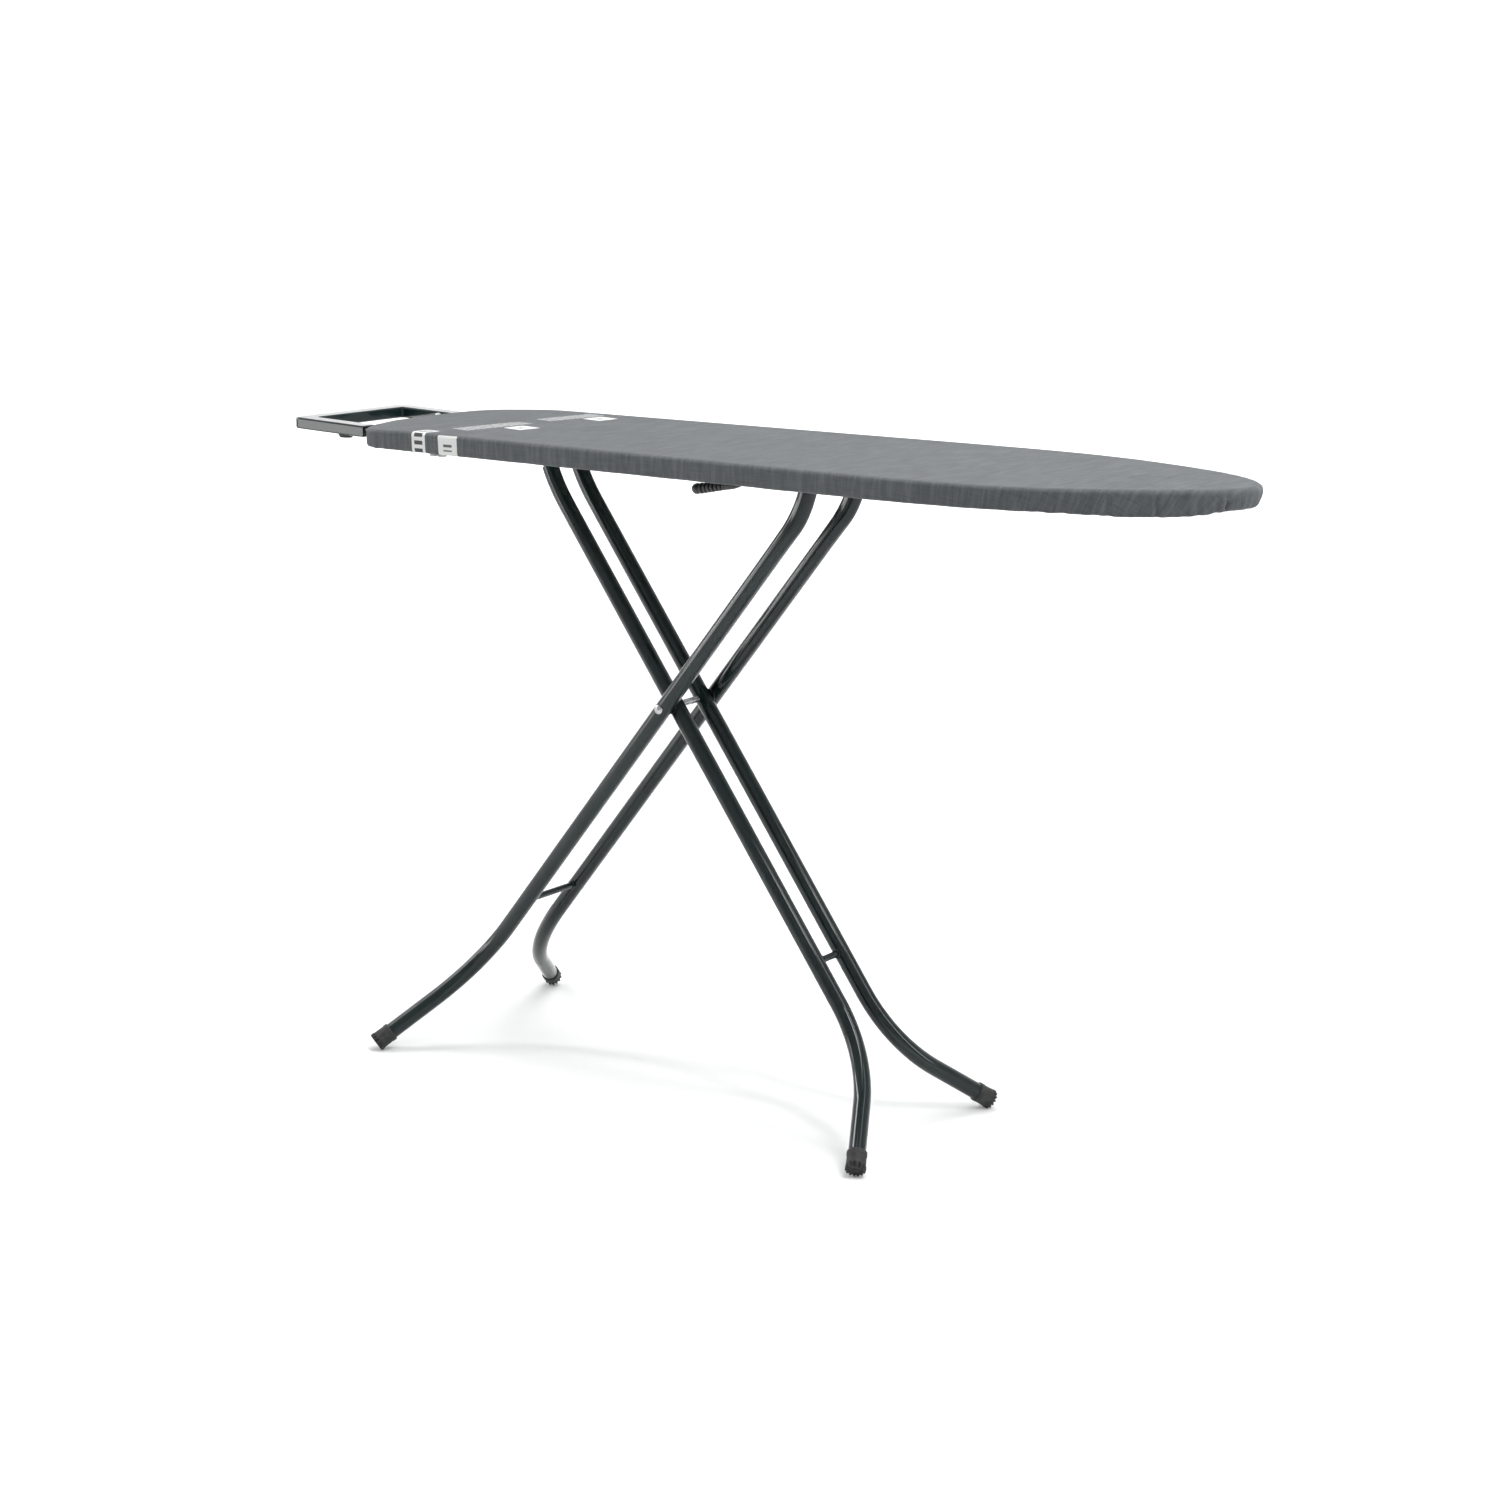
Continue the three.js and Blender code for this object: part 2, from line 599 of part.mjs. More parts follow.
const REST_BOLT_X = [CHANNEL_X[0] + 11, CHANNEL_X[1] - 7];

// A hexagon-headed bolt, head down, with its nut on top of the channel's lower flange.
function restArmBolt(x, y) {
  const head = CHANNEL_BOTTOM_Z - FIT_GAP - ARM_T - FIT_GAP;
  const nut = CHANNEL_BOTTOM_Z + SHEET + FIT_GAP;
  return join(rodZ(x, y, [head - 3.5, head], 5.5, 6), rodZ(x, y, [head - 1, nut + 1], 3, 12),
    rodZ(x, y, [nut, nut + 4.5], 5.5, 6));
}

function makeRest() {
  add("rest_frame", PAINT, makeRestFrame());
  const barY = REST_HALF_WIDTH - REST_BAR_W / 2;
  for (const [side, sign] of [["left", 1], ["right", -1]]) {
    const span = (a, b) => [sign * a, sign * b].sort((p, q) => p - q);
    const strapY = span(barY - ARM_W / 2, barY + ARM_W / 2);
    add(`rest_arm_${side}`, PAINT, makeRestArm(strapY));
    REST_BOLT_X.forEach((x, i) => add(`rest_arm_bolt_${side}_${i + 1}`, ZINC, restArmBolt(x, sign * barY)));

    const [boltX, boltZ] = REST_BOLT_AT;
    const innerFace = REST_HALF_WIDTH - REST_BAR_W;
    const head = rodY(boltX, boltZ, span(innerFace - 2.8, innerFace - FIT_GAP), 4.8, 18);
    const shank = rodY(boltX, boltZ, span(innerFace - 1, REST_HALF_WIDTH - 3), 2.5, 12);
    add(`rest_bolt_${side}`, ZINC, leaned(join(head, shank)));

    const bumper = new THREE.CylinderGeometry(9, 7, 4, 20).rotateX(Math.PI / 2).scale(1.2, 1, 1);
    bumper.translate(REST_INNER_X - 41, sign * barY, -REST_BAR_H - FIT_GAP - 2);
    add(`rest_bumper_${side}`, RUBBER, leaned(bumper));

    const plugZ = [-REST_BAR_H + 2.4, -6.9];
    const plugY = span(innerFace + 2, REST_HALF_WIDTH - 2);
    const plug = box([REST_INNER_X - 8, REST_INNER_X - 0.5], plugY, plugZ);
    add(`rest_plug_${side}`, PLASTIC, leaned(plug));
  }

  const [x0, x1] = CHANNEL_X;
  const low = CHANNEL_BOTTOM_Z;
  const channel = plateXZ(polygon([
    [x0, low], [x1, low], [x1, low + SHEET], [x0 + SHEET, low + SHEET],
    [x0 + SHEET, FRAME_TOP_Z - SHEET], [x1, FRAME_TOP_Z - SHEET], [x1, FRAME_TOP_Z], [x0, FRAME_TOP_Z],
  ]), [-112, 112]);
  const holes = [-barY, barY].flatMap((y) => REST_BOLT_X.map((x) => (
    rodZ(x, y, [low - 3, low + 4], 3 + HOLE_CLEARANCE, 12)
  )));
  add("rest_channel", PAINT, cut(channel, ...holes));
}

// ---------------------------------------------------------------- legs

// The straight part's unit direction toward the floor.
function downLeg(leg) {
  return new THREE.Vector3(-leg.toward * leg.lean, 0, -1).normalize();
}

function straightX(leg, z) {
  return PIVOT_X + leg.toward * leg.lean * (z - PIVOT_Z);
}

// A point of the bend at the top of a leg, where the tube turns toward the vertical.
function topBend(leg, z) {
  const lean = Math.atan(leg.lean);
  const turned = Math.asin(Math.sin(lean) - (z - leg.topBendZ) / leg.topBendR);
  const x = straightX(leg, leg.topBendZ) + leg.toward * leg.topBendR * (Math.cos(turned) - Math.cos(lean));
  return { point: [x, z], tangent: [-leg.toward * Math.sin(turned), -Math.cos(turned)] };
}

function footFrame(leg, sign) {
  const down = downLeg(leg);
  const aside = new THREE.Vector3(0, sign, 0);
  const axis = down.clone().multiplyScalar(Math.cos(SPLAY_ANGLE))
    .addScaledVector(aside, Math.sin(SPLAY_ANGLE));
  const start = new THREE.Vector3(straightX(leg, leg.splayZ), sign * leg.halfGap, leg.splayZ);
  const bendEnd = start.clone().addScaledVector(down, leg.splayR * Math.sin(SPLAY_ANGLE))
    .addScaledVector(aside, leg.splayR * (1 - Math.cos(SPLAY_ANGLE)));
  const endZ = FOOT_R * Math.hypot(axis.x, axis.y) - FOOT_FLAT;
  const end = bendEnd.clone().addScaledVector(axis, (endZ - bendEnd.z) / axis.z);
  return { down, aside, axis, start, bendEnd, end };
}

function legStations(leg, sign) {
  const stations = range(3).map((t) => {
    const { point, tangent } = topBend(leg, leg.topZ + (leg.topBendZ - leg.topZ) * t);
    return {
      point: new THREE.Vector3(point[0], sign * leg.halfGap, point[1]),
      tangent: new THREE.Vector3(tangent[0], 0, tangent[1]),
    };
  });
  const { down, aside, axis, start, end } = footFrame(leg, sign);
  for (const t of range(6)) {
    const angle = SPLAY_ANGLE * t;
    const point = start.clone().addScaledVector(down, leg.splayR * Math.sin(angle))
      .addScaledVector(aside, leg.splayR * (1 - Math.cos(angle)));
    const tangent = down.clone().multiplyScalar(Math.cos(angle))
      .addScaledVector(aside, Math.sin(angle));
    stations.push({ point, tangent });
  }
  stations.push({ point: end.clone().addScaledVector(axis, -FOOT_BASE_T - FIT_GAP), tangent: axis });
  return stations;
}

// A rubber cup over the tube's end, with a chamfered collar and a notched rim.
function makeFoot(leg, sign) {
  const bore = TUBE_R + FIT_GAP;
  const profile = [
    [0, 0], [FOOT_R, 0], [FOOT_R, FOOT_LENGTH - 3], [FOOT_R - 0.8, FOOT_LENGTH], [bore, FOOT_LENGTH],
    [bore, FOOT_BASE_T], [0, FOOT_BASE_T],
  ];
  const points = profile.map(([r, h]) => new THREE.Vector2(r, h));
  const cup = new THREE.LatheGeometry(points, 20);
  const notches = range(FOOT_NOTCHES - 1).map((t) => {
    const angle = (t * (FOOT_NOTCHES - 1) * 2 * Math.PI) / FOOT_NOTCHES;
    return new THREE.BoxGeometry(3, 2.4, 2.2).translate(FOOT_R, 0, 0).rotateY(angle);
  });
  const { axis, end } = footFrame(leg, sign);
  const up = axis.clone().negate();
  const upright = new THREE.Quaternion().setFromUnitVectors(new THREE.Vector3(0, 1, 0), up);
  const foot = cut(cup, ...notches).applyQuaternion(upright).translate(end.x, end.y, end.z);
  return cut(foot, box([-LENGTH, LENGTH], [-LENGTH, LENGTH], [-50, 0]));
}

// A flat tongue out of the tube's top end, with an eye for the rod.
function makeTongue(leg, rodX, y) {
  const foot = topBend(leg, leg.tongueZ).point;
  const blade = plateXZ(capsule([rodX, HINGE_Z], foot, TONGUE_HALF_WIDTH), y);
  const eye = rodY(rodX, HINGE_Z, y, TONGUE_EYE_R);
  return cut(join(blade, eye), rodY(rodX, HINGE_Z, [y[0] - 1, y[1] + 1], ROD_R + HOLE_CLEARANCE));
}

function makeLeg(name, leg, rodX, crossbarZ) {
  const across = [-3 * leg.halfGap, 3 * leg.halfGap];
  for (const [side, sign] of [["left", 1], ["right", -1]]) {
    const y = sign * leg.halfGap;
    const tube = sweep(ringSection(TUBE_R, TUBE_R - TUBE_WALL), legStations(leg, sign));
    add(`${name}_tube_${side}`, PAINT, cut(tube, rodY(PIVOT_X, PIVOT_Z, across, RIVET_R + HOLE_CLEARANCE)));
    add(`${name}_foot_${side}`, RUBBER, makeFoot(leg, sign));
    add(`${name}_tongue_${side}`, PAINT, makeTongue(leg, rodX, [y - TONGUE_T / 2, y + TONGUE_T / 2]));
  }
  const reach = leg.halfGap - TUBE_R - FIT_GAP;
  const crossbarX = straightX(leg, crossbarZ);
  add(`${name}_crossbar`, PAINT, rodY(crossbarX, crossbarZ, [-reach, reach], CROSSBAR_R, 16));
}

function makePivot() {
  const outside = OUTER_LEG.halfGap + TUBE_R + FIT_GAP;
  const profile = [
    [0, -outside - 3], [3.6, -outside - 2.6], [RIVET_HEAD_R - 0.2, -outside - 1.2],
    [RIVET_HEAD_R, -outside], [RIVET_R, -outside],
  ];
  const mirrored = profile.slice().reverse().map(([r, h]) => [r, -h]);
  const points = [...profile, ...mirrored].map(([r, h]) => new THREE.Vector2(r, h));
  add("pivot_rivet", ZINC, new THREE.LatheGeometry(points, 20).translate(PIVOT_X, 0, PIVOT_Z));

  const bore = RIVET_R + HOLE_CLEARANCE;
  const between = INNER_LEG.halfGap - TUBE_R - FIT_GAP;
  add("pivot_spacer", ZINC, ringY(PIVOT_X, PIVOT_Z, [-between, between], SPACER_R, bore));
  const inner = INNER_LEG.halfGap + TUBE_R + 0.25;
  const outer = OUTER_LEG.halfGap - TUBE_R - 0.25;
  add("pivot_washer_right", PLASTIC, ringY(PIVOT_X, PIVOT_Z, [inner, outer], 9, bore));
  add("pivot_washer_left", PLASTIC, ringY(PIVOT_X, PIVOT_Z, [-outer, -inner], 9, bore));
}

function makeLegs() {
  makeLeg("inner_leg", INNER_LEG, HINGE_X, INNER_CROSSBAR_Z);
  makeLeg("outer_leg", OUTER_LEG, SLIDE_X, OUTER_CROSSBAR_Z);
  makePivot();
  const reach = OUTER_LEG.halfGap + TONGUE_T;
  add("slide_rod", ZINC, rodY(SLIDE_X, HINGE_Z, [-reach, reach], ROD_R));
  const room = RAIL_HALF_WIDTH - RAIL_SHEET - 1;
  add("slide_roller", PLASTIC, ringY(SLIDE_X, HINGE_Z, [-room, room], 7, ROD_R + HOLE_CLEARANCE));
}

makeTop();
makeUnderframe();
makeHinge();
makeRail();
makeLever();
makeRest();
makeLegs();

export default ironingBoard;
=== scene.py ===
import json
import math

import bmesh
import bpy
from mathutils import Matrix, Vector, noise


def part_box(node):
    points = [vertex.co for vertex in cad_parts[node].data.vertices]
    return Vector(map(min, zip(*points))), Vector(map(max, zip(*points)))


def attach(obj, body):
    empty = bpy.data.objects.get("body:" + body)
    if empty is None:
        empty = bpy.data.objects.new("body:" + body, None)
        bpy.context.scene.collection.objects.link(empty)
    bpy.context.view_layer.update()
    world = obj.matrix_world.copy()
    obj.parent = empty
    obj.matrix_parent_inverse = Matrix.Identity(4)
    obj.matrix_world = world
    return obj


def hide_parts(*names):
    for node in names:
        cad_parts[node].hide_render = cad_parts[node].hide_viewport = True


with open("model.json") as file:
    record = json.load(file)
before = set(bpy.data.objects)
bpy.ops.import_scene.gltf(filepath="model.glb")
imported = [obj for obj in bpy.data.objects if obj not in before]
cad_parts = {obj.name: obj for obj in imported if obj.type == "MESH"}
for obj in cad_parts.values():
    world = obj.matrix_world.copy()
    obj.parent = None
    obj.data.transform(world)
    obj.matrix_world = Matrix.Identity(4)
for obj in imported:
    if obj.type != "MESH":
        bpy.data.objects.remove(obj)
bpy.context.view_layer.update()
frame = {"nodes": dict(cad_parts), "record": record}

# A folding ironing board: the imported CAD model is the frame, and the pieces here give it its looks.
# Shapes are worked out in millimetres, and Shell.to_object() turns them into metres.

# ---------------------------------------------------------------- sizes, in millimetres


def box(node):
    low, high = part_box(node)
    return Vector(low) * 1000, Vector(high) * 1000


def joint_place(name):
    joint = next(j for j in frame["record"]["behaviour"]["joints"] if j["name"] == name)
    return Vector(joint["pos_m"]) * 1000


COVER_LOW, COVER_HIGH = box("cover")
NOSE_X = COVER_HIGH.x
TOP_Z = COVER_HIGH.z
HEM_Z = COVER_LOW.z
MAX_HALF_WIDTH = COVER_HIGH.y
END_BULGE = 8
BOARD_END_X = COVER_LOW.x + END_BULGE  # where the bulging square end starts
END_HALF_WIDTH = 141
END_CORNER_R = 44
WIDEST_X = NOSE_X - 445
NOSE_PARABOLA = 90  # half width squared over distance from the tip
NOSE_JOIN_HALF_WIDTH = 129
NOSE_JOIN_SLOPE = 0.3

CLOTH_T = 0.8
CLOTH_STEP = 3.2  # spacing of the cover's columns round the board
HEM_TURN = 26  # how far the hem runs in under the edge tube
EDGE_TUBE = 12
NOSE_DRAW = 8  # how far the edge tube steps in under the nose
HEM_DRAW = 5.5  # how far the elastic pulls the cover's lower edge in, and up, at the tip
CORNER_DROOP = 2.7  # how far the cover's top drops at a corner of the square end
NOSE_PUFF = 2.0  # how far the padding lifts the cover's top near the tip
SHOULDER_R = 4.4  # the cover's upper edge
LOW_R = 3.2  # the cover's lower edge

PIVOT = joint_place("leg_scissor")
HINGE = joint_place("leg_fold")
LEVER_AXIS = joint_place("lever_squeeze")
TUBE_R = 10
TUBE_WALL = 1.2
SPLAY_ANGLE = math.radians(45.5)
FOOT_R = 11.6
FOOT_LENGTH = 24.5
FOOT_FLAT = 0.6
FOOT_TEETH = 14
RIVET_R = 2.6
RIVET_HEAD_R = 5.6


# ---------------------------------------------------------------- mesh helpers


def smoothstep(low, high, value):
    t = min(max((value - low) / (high - low), 0), 1)
    return t * t * (3 - 2 * t)


def steps(count):
    return [i / count for i in range(count + 1)]


class Shell:
    """A mesh in the making: points in millimetres, faces, and the cloth coordinate of each point."""

    def __init__(self):
        self.points = []
        self.faces = []
        self.cloth = []

    def ring(self, points):
        first = len(self.points)
        self.points.extend(Vector(p) for p in points)
        return list(range(first, len(self.points)))

    def bridge(self, a, b, closed=True):
        last = len(a) if closed else len(a) - 1
        for i in range(last):
            j = (i + 1) % len(a)
            self.faces.append((a[i], a[j], b[j], b[i]))

    def cap(self, ring):
        self.faces.append(tuple(ring))

    def lace(self, ring):
        """Closes a ring that lies even about the middle line, with faces from side to side."""
        count = len(ring)
        for i in range(count // 2):
            corners = (ring[i], ring[i + 1], ring[(count - i - 1) % count], ring[(count - i) % count])
            face = tuple(dict.fromkeys(corners))
            if len(face) > 2:
                self.faces.append(face)

    def to_object(self, name, sharp=40):
        mesh = bpy.data.meshes.new(name)
        mesh.from_pydata([p * 0.001 for p in self.points], [], self.faces)
        if self.cloth:
            layer = mesh.attributes.new("cloth", "FLOAT_VECTOR", "POINT")
            layer.data.foreach_set("vector", [c * 0.001 for v in self.cloth for c in v])
        mesh.validate()
        mesh.shade_smooth()
        mesh.set_sharp_from_angle(angle=math.radians(sharp))
        obj = bpy.data.objects.new(name, mesh)
        bpy.context.scene.collection.objects.link(obj)
        return obj


def outward(obj):
    """Turns the faces of a closed mesh outward."""
    bm = bmesh.new()
    bm.from_mesh(obj.data)
    bmesh.ops.recalc_face_normals(bm, faces=bm.faces)
    bm.to_mesh(obj.data)
    bm.free()


def show(name, shell, material, body, stands_for=(), sharp=40, closed=True):
    obj = shell.to_object(name, sharp)
    if closed:
        outward(obj)
    obj.data.materials.append(material)
    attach(obj, body)
    if stands_for:
        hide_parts(*stands_for)
    return obj


def circle(radius, sides):
    angles = [2 * math.pi * i / sides for i in range(sides)]
    return [(radius * math.cos(a), radius * math.sin(a)) for a in angles]


def rounded_square(side, radius, corner_steps=4):
    reach = side / 2 - radius
    points = []
    for quarter in range(4):
        middle = math.pi / 4 + quarter * math.pi / 2
        cx = math.copysign(reach, math.cos(middle))
        cy = math.copysign(reach, math.sin(middle))
        for t in steps(corner_steps):
            a = quarter * math.pi / 2 + t * math.pi / 2
            points.append((cx + radius * math.cos(a), cy + radius * math.sin(a)))
    return points


def tangents(line):
    return [
        (line[min(i + 1, len(line) - 1)] - line[max(i - 1, 0)]).normalized()
        for i in range(len(line))
    ]


def sweep(shell, line, section, up=Vector((0, 0, 1)), hollow=None, press=None):
    """Sweeps a section along a line. hollow is the bore's section, press each point's two scale factors."""
    ahead = tangents(line)
    side = up.cross(ahead[0]).normalized()
    rings = {"skin": [], "bore": []}
    for i, (point, along) in enumerate(zip(line, ahead)):
        side = (side - along * side.dot(along)).normalized()
        over = along.cross(side)
        wide, thin = press[i] if press else (1, 1)
        for key, shape in (("skin", section), ("bore", hollow)):
            if shape:
                rings[key].append(shell.ring(point + side * a * wide + over * b * thin for a, b in shape))
    for key in ("skin", "bore"):
        for a, b in zip(rings[key], rings[key][1:]):
            shell.bridge(a, b)
    for end in (0, -1):
        if hollow:
            shell.bridge(rings["skin"][end], rings["bore"][end])
        else:
            shell.cap(rings["skin"][end])
    return shell


def lathe(shell, profile, place, sides=40, ripple=None):
    """Turns (radius, height) pairs about place's Z. ripple adds to a radius, by column and row."""
    rings = []
    for row, (radius, height) in enumerate(profile):
        if radius < 1e-6:
            rings.append(shell.ring([place @ Vector((0, 0, height))]))
            continue
        points = []
        for i in range(sides):
            a = 2 * math.pi * i / sides
            r = radius + (ripple(i, row) if ripple else 0)
            points.append(place @ Vector((r * math.cos(a), r * math.sin(a), height)))
        rings.append(shell.ring(points))
    for a, b in zip(rings, rings[1:]):
        if len(a) == len(b):
            shell.bridge(a, b)
            continue
        tip, rim = (a[0], b) if len(a) == 1 else (b[0], a)
        for i in range(sides):
            shell.faces.append((tip, rim[i], rim[(i + 1) % sides]))
    return shell


def axis_place(point, direction):
    """A matrix with its origin at a point and its Z along a direction."""
    turn = Vector((0, 0, 1)).rotation_difference(Vector(direction)).to_matrix().to_4x4()
    return Matrix.Translation(point) @ turn


ALONG_Y = Vector((0, 1, 0))


def dress(node, material, bevel=0.35):
    """A CAD node that keeps its shape gets its finish and softened edges."""
    obj = frame["nodes"][node]
    obj.data.materials.clear()
    obj.data.materials.append(material)
    obj.data.shade_smooth()
    obj.data.set_sharp_from_angle(angle=math.radians(32))
    if bevel:
        soften = obj.modifiers.new("soft edges", "BEVEL")
        soften.width = bevel * 0.001
        soften.segments = 2
        soften.limit_method = "ANGLE"
        soften.angle_limit = math.radians(32)
        soften.harden_normals = False
    flatten = obj.modifiers.new("flat faces", "WEIGHTED_NORMAL")
    flatten.keep_sharp = True


# ---------------------------------------------------------------- materials


class Finish:
    """A node material with short ways to add textures, maths and bumps."""

    def __init__(self, name, **shader):
        self.material = bpy.data.materials.new(name)
        self.material.use_nodes = True
        self.tree = self.material.node_tree
        self.shader = self.tree.nodes["Principled BSDF"]
        for key, value in shader.items():
            self.shader.inputs[key.replace("_", " ")].default_value = value

    def node(self, kind, inputs=(), **settings):
        made = self.tree.nodes.new(kind)
        for key, value in settings.items():
            setattr(made, key, value)
        for key, value in dict(inputs).items():
            if isinstance(value, bpy.types.NodeSocket):
                self.tree.links.new(value, made.inputs[key])
            else:
                made.inputs[key].default_value = value
        return made

    def maths(self, operation, *values):
        return self.node("ShaderNodeMath", enumerate(values), operation=operation).outputs[0]

    def place(self):
        return self.node("ShaderNodeTexCoord").outputs["Object"]

    def stretched(self, coordinates, scale):
        mapped = self.node("ShaderNodeMapping", {"Vector": coordinates, "Scale": scale})
        return mapped.outputs["Vector"]

    def noise(self, coordinates, scale, detail=3.0, roughness=0.55):
        made = self.node("ShaderNodeTexNoise", {
            "Vector": coordinates, "Scale": scale, "Detail": detail, "Roughness": roughness,
        })
        return made.outputs[0]

    def remap(self, value, low, high, to_low, to_high, smooth=False):
        made = self.node("ShaderNodeMapRange", {
            "Value": value, "From Min": low, "From Max": high, "To Min": to_low, "To Max": to_high,
        })
        made.interpolation_type = "SMOOTHSTEP" if smooth else "LINEAR"
        return made.outputs[0]

    def mix(self, share, a, b):
        made = self.node("ShaderNodeMix", data_type="RGBA")
        for key, value in ((0, share), (6, a), (7, b)):
            if isinstance(value, bpy.types.NodeSocket):
                self.tree.links.new(value, made.inputs[key])
            else:
                made.inputs[key].default_value = value
        return made.outputs[2]

    def bump(self, height, strength, distance):
        made = self.node("ShaderNodeBump", {
            "Height": height, "Strength": strength, "Distance": distance,
        })
        return made.outputs[0]

    def use(self, **links):
        for key, socket in links.items():
            self.tree.links.new(socket, self.shader.inputs[key.replace("_", " ")])


def paint_finish():
    """Glossy stove enamel, a very dark green, with a faint orange peel."""
    f = Finish("dark green enamel", Roughness=0.3, Metallic=0.0, Specular_IOR_Level=0.08, Coat_Weight=1.0,
               Coat_Roughness=0.03, Coat_IOR=1.36)
    at = f.place()
    drift = f.noise(at, 9.0, 4.0)
    base = f.mix(f.remap(drift, 0.35, 0.65, 0, 1), (0.003, 0.008, 0.008, 1), (0.006, 0.013, 0.013, 1))
    scuffs = f.noise(f.stretched(at, (60, 60, 400)), 3.0, 6.0, 0.7)
    worn = f.remap(scuffs, 0.68, 0.78, 0, 0.35)
    peel = f.noise(at, 330.0, 2.0)
    bump = f.bump(peel, 0.05, 0.0006)
    f.use(Base_Color=f.mix(worn, base, (0.03, 0.036, 0.036, 1)), Normal=bump, Coat_Normal=bump)
    f.use(Roughness=f.remap(drift, 0.3, 0.7, 0.24, 0.38))
    return f.material


def zinc_finish():
    """Bright zinc plate, a little streaked and dulled."""
    f = Finish("zinc plate", Metallic=1.0, Roughness=0.3)
    at = f.place()
    cloudy = f.noise(at, 120.0, 5.0, 0.65)
    brushed = f.noise(f.stretched(at, (900, 60, 900)), 1.0, 3.0)
    base = f.mix(f.remap(cloudy, 0.35, 0.65, 0, 1), (0.3, 0.31, 0.32, 1), (0.52, 0.53, 0.52, 1))
    f.use(Base_Color=base, Roughness=f.remap(cloudy, 0.3, 0.7, 0.22, 0.42))
    f.use(Normal=f.bump(brushed, 0.12, 0.0002))
    return f.material


def rubber_finish():
    """Matt black rubber with a fine moulded grain and patches of dust."""
    f = Finish("black rubber", Roughness=0.7, Specular_IOR_Level=0.4)
    at = f.place()
    dust = f.noise(at, 180.0, 6.0, 0.7)
    base = f.mix(f.remap(dust, 0.45, 0.75, 0, 1), (0.013, 0.013, 0.013, 1), (0.05, 0.05, 0.05, 1))
    f.use(Base_Color=base, Roughness=f.remap(dust, 0.3, 0.7, 0.5, 0.8))
    f.use(Normal=f.bump(f.noise(at, 1400.0, 3.0), 0.25, 0.0002))
    return f.material


def plastic_finish():
    """Moulded black plastic with a satin grain."""
    f = Finish("black plastic", Roughness=0.4, Specular_IOR_Level=0.5)
    at = f.place()
    drift = f.noise(at, 60.0, 4.0)
    base = f.mix(f.remap(drift, 0.35, 0.65, 0, 1), (0.01, 0.01, 0.01, 1), (0.022, 0.022, 0.023, 1))
    f.use(Base_Color=base, Roughness=f.remap(drift, 0.3, 0.7, 0.32, 0.48))
    f.use(Normal=f.bump(f.noise(at, 1100.0, 2.0), 0.12, 0.0002))
    return f.material


def panel_finish():
    """Thin grey paint over expanded steel."""
    f = Finish("grey mesh paint", Roughness=0.45, Metallic=0.3)
    at = f.place()
    drift = f.noise(at, 40.0, 5.0, 0.6)
    base = f.mix(f.remap(drift, 0.35, 0.65, 0, 1), (0.17, 0.18, 0.18, 1), (0.25, 0.26, 0.26, 1))
    rust = f.remap(f.noise(at, 260.0, 5.0, 0.7), 0.72, 0.8, 0, 0.5)
    f.use(Base_Color=f.mix(rust, base, (0.12, 0.07, 0.04, 1)), Roughness=f.remap(drift, 0.3, 0.7, 0.35, 0.55))
    f.use(Normal=f.bump(f.noise(at, 500.0, 3.0), 0.15, 0.0003))
    return f.material


def felt_finish():
    """Needled felt: pale, with darker and lighter fibres."""
    f = Finish("needled felt", Roughness=1.0, Sheen_Weight=0.3, Sheen_Roughness=0.6, Specular_IOR_Level=0.1)
    at = f.place()
    fibres = f.noise(f.stretched(at, (1, 3, 1)), 420.0, 6.0, 0.75)
    clumps = f.noise(at, 45.0, 4.0)
    base = f.mix(f.remap(fibres, 0.35, 0.65, 0, 1), (0.42, 0.41, 0.38, 1), (0.68, 0.66, 0.6, 1))
    shade = f.mix(f.remap(clumps, 0.4, 0.7, 0, 0.35), base, (0.3, 0.3, 0.29, 1))
    f.use(Base_Color=shade, Normal=f.bump(fibres, 0.7, 0.0012))
    return f.material


# Prints on the cover, in cloth coordinates: middle x and y, width along X, height along Y, turn in degrees.
PRINTS = {
    "side_band": (-376.0, -145.0, 22.0, 58.0, 0.0),
    "side_patch": (-328.0, -155.0, 31.0, 27.0, 0.0),
    "near_strip": (-352.0, -40.0, 30.0, 100.0, -9.0),
    "far_strip": (-340.0, 84.0, 30.0, 86.0, -9.0),
    "near_patch": (-311.0, -34.0, 32.0, 30.0, -9.0),
    "far_patch": (-300.0, 95.0, 32.0, 30.0, -9.0),
}
# From here to the fabric's finish, lengths are in metres, as the cloth coordinate is.
WEAVE = 0.0011  # between threads
PRINT_BLUR = 0.0009
STRIP_PITCH, BAND_PITCH, PATCH_PITCH = 0.0082, 0.0092, 0.0065
BAND_MARGIN, PATCH_MARGIN = 0.0042, 0.0085
INK = (0.62, 0.63, 0.62, 1)


def stripes(f, along, pitch, low, high, faint=0.0):
    """Stripes across one direction: 1 where their wave is above high, faint where it is below low."""
    return f.remap(f.maths("SINE", f.maths("MULTIPLY", along, 2 * math.pi / pitch)), low, high, faint, 1)


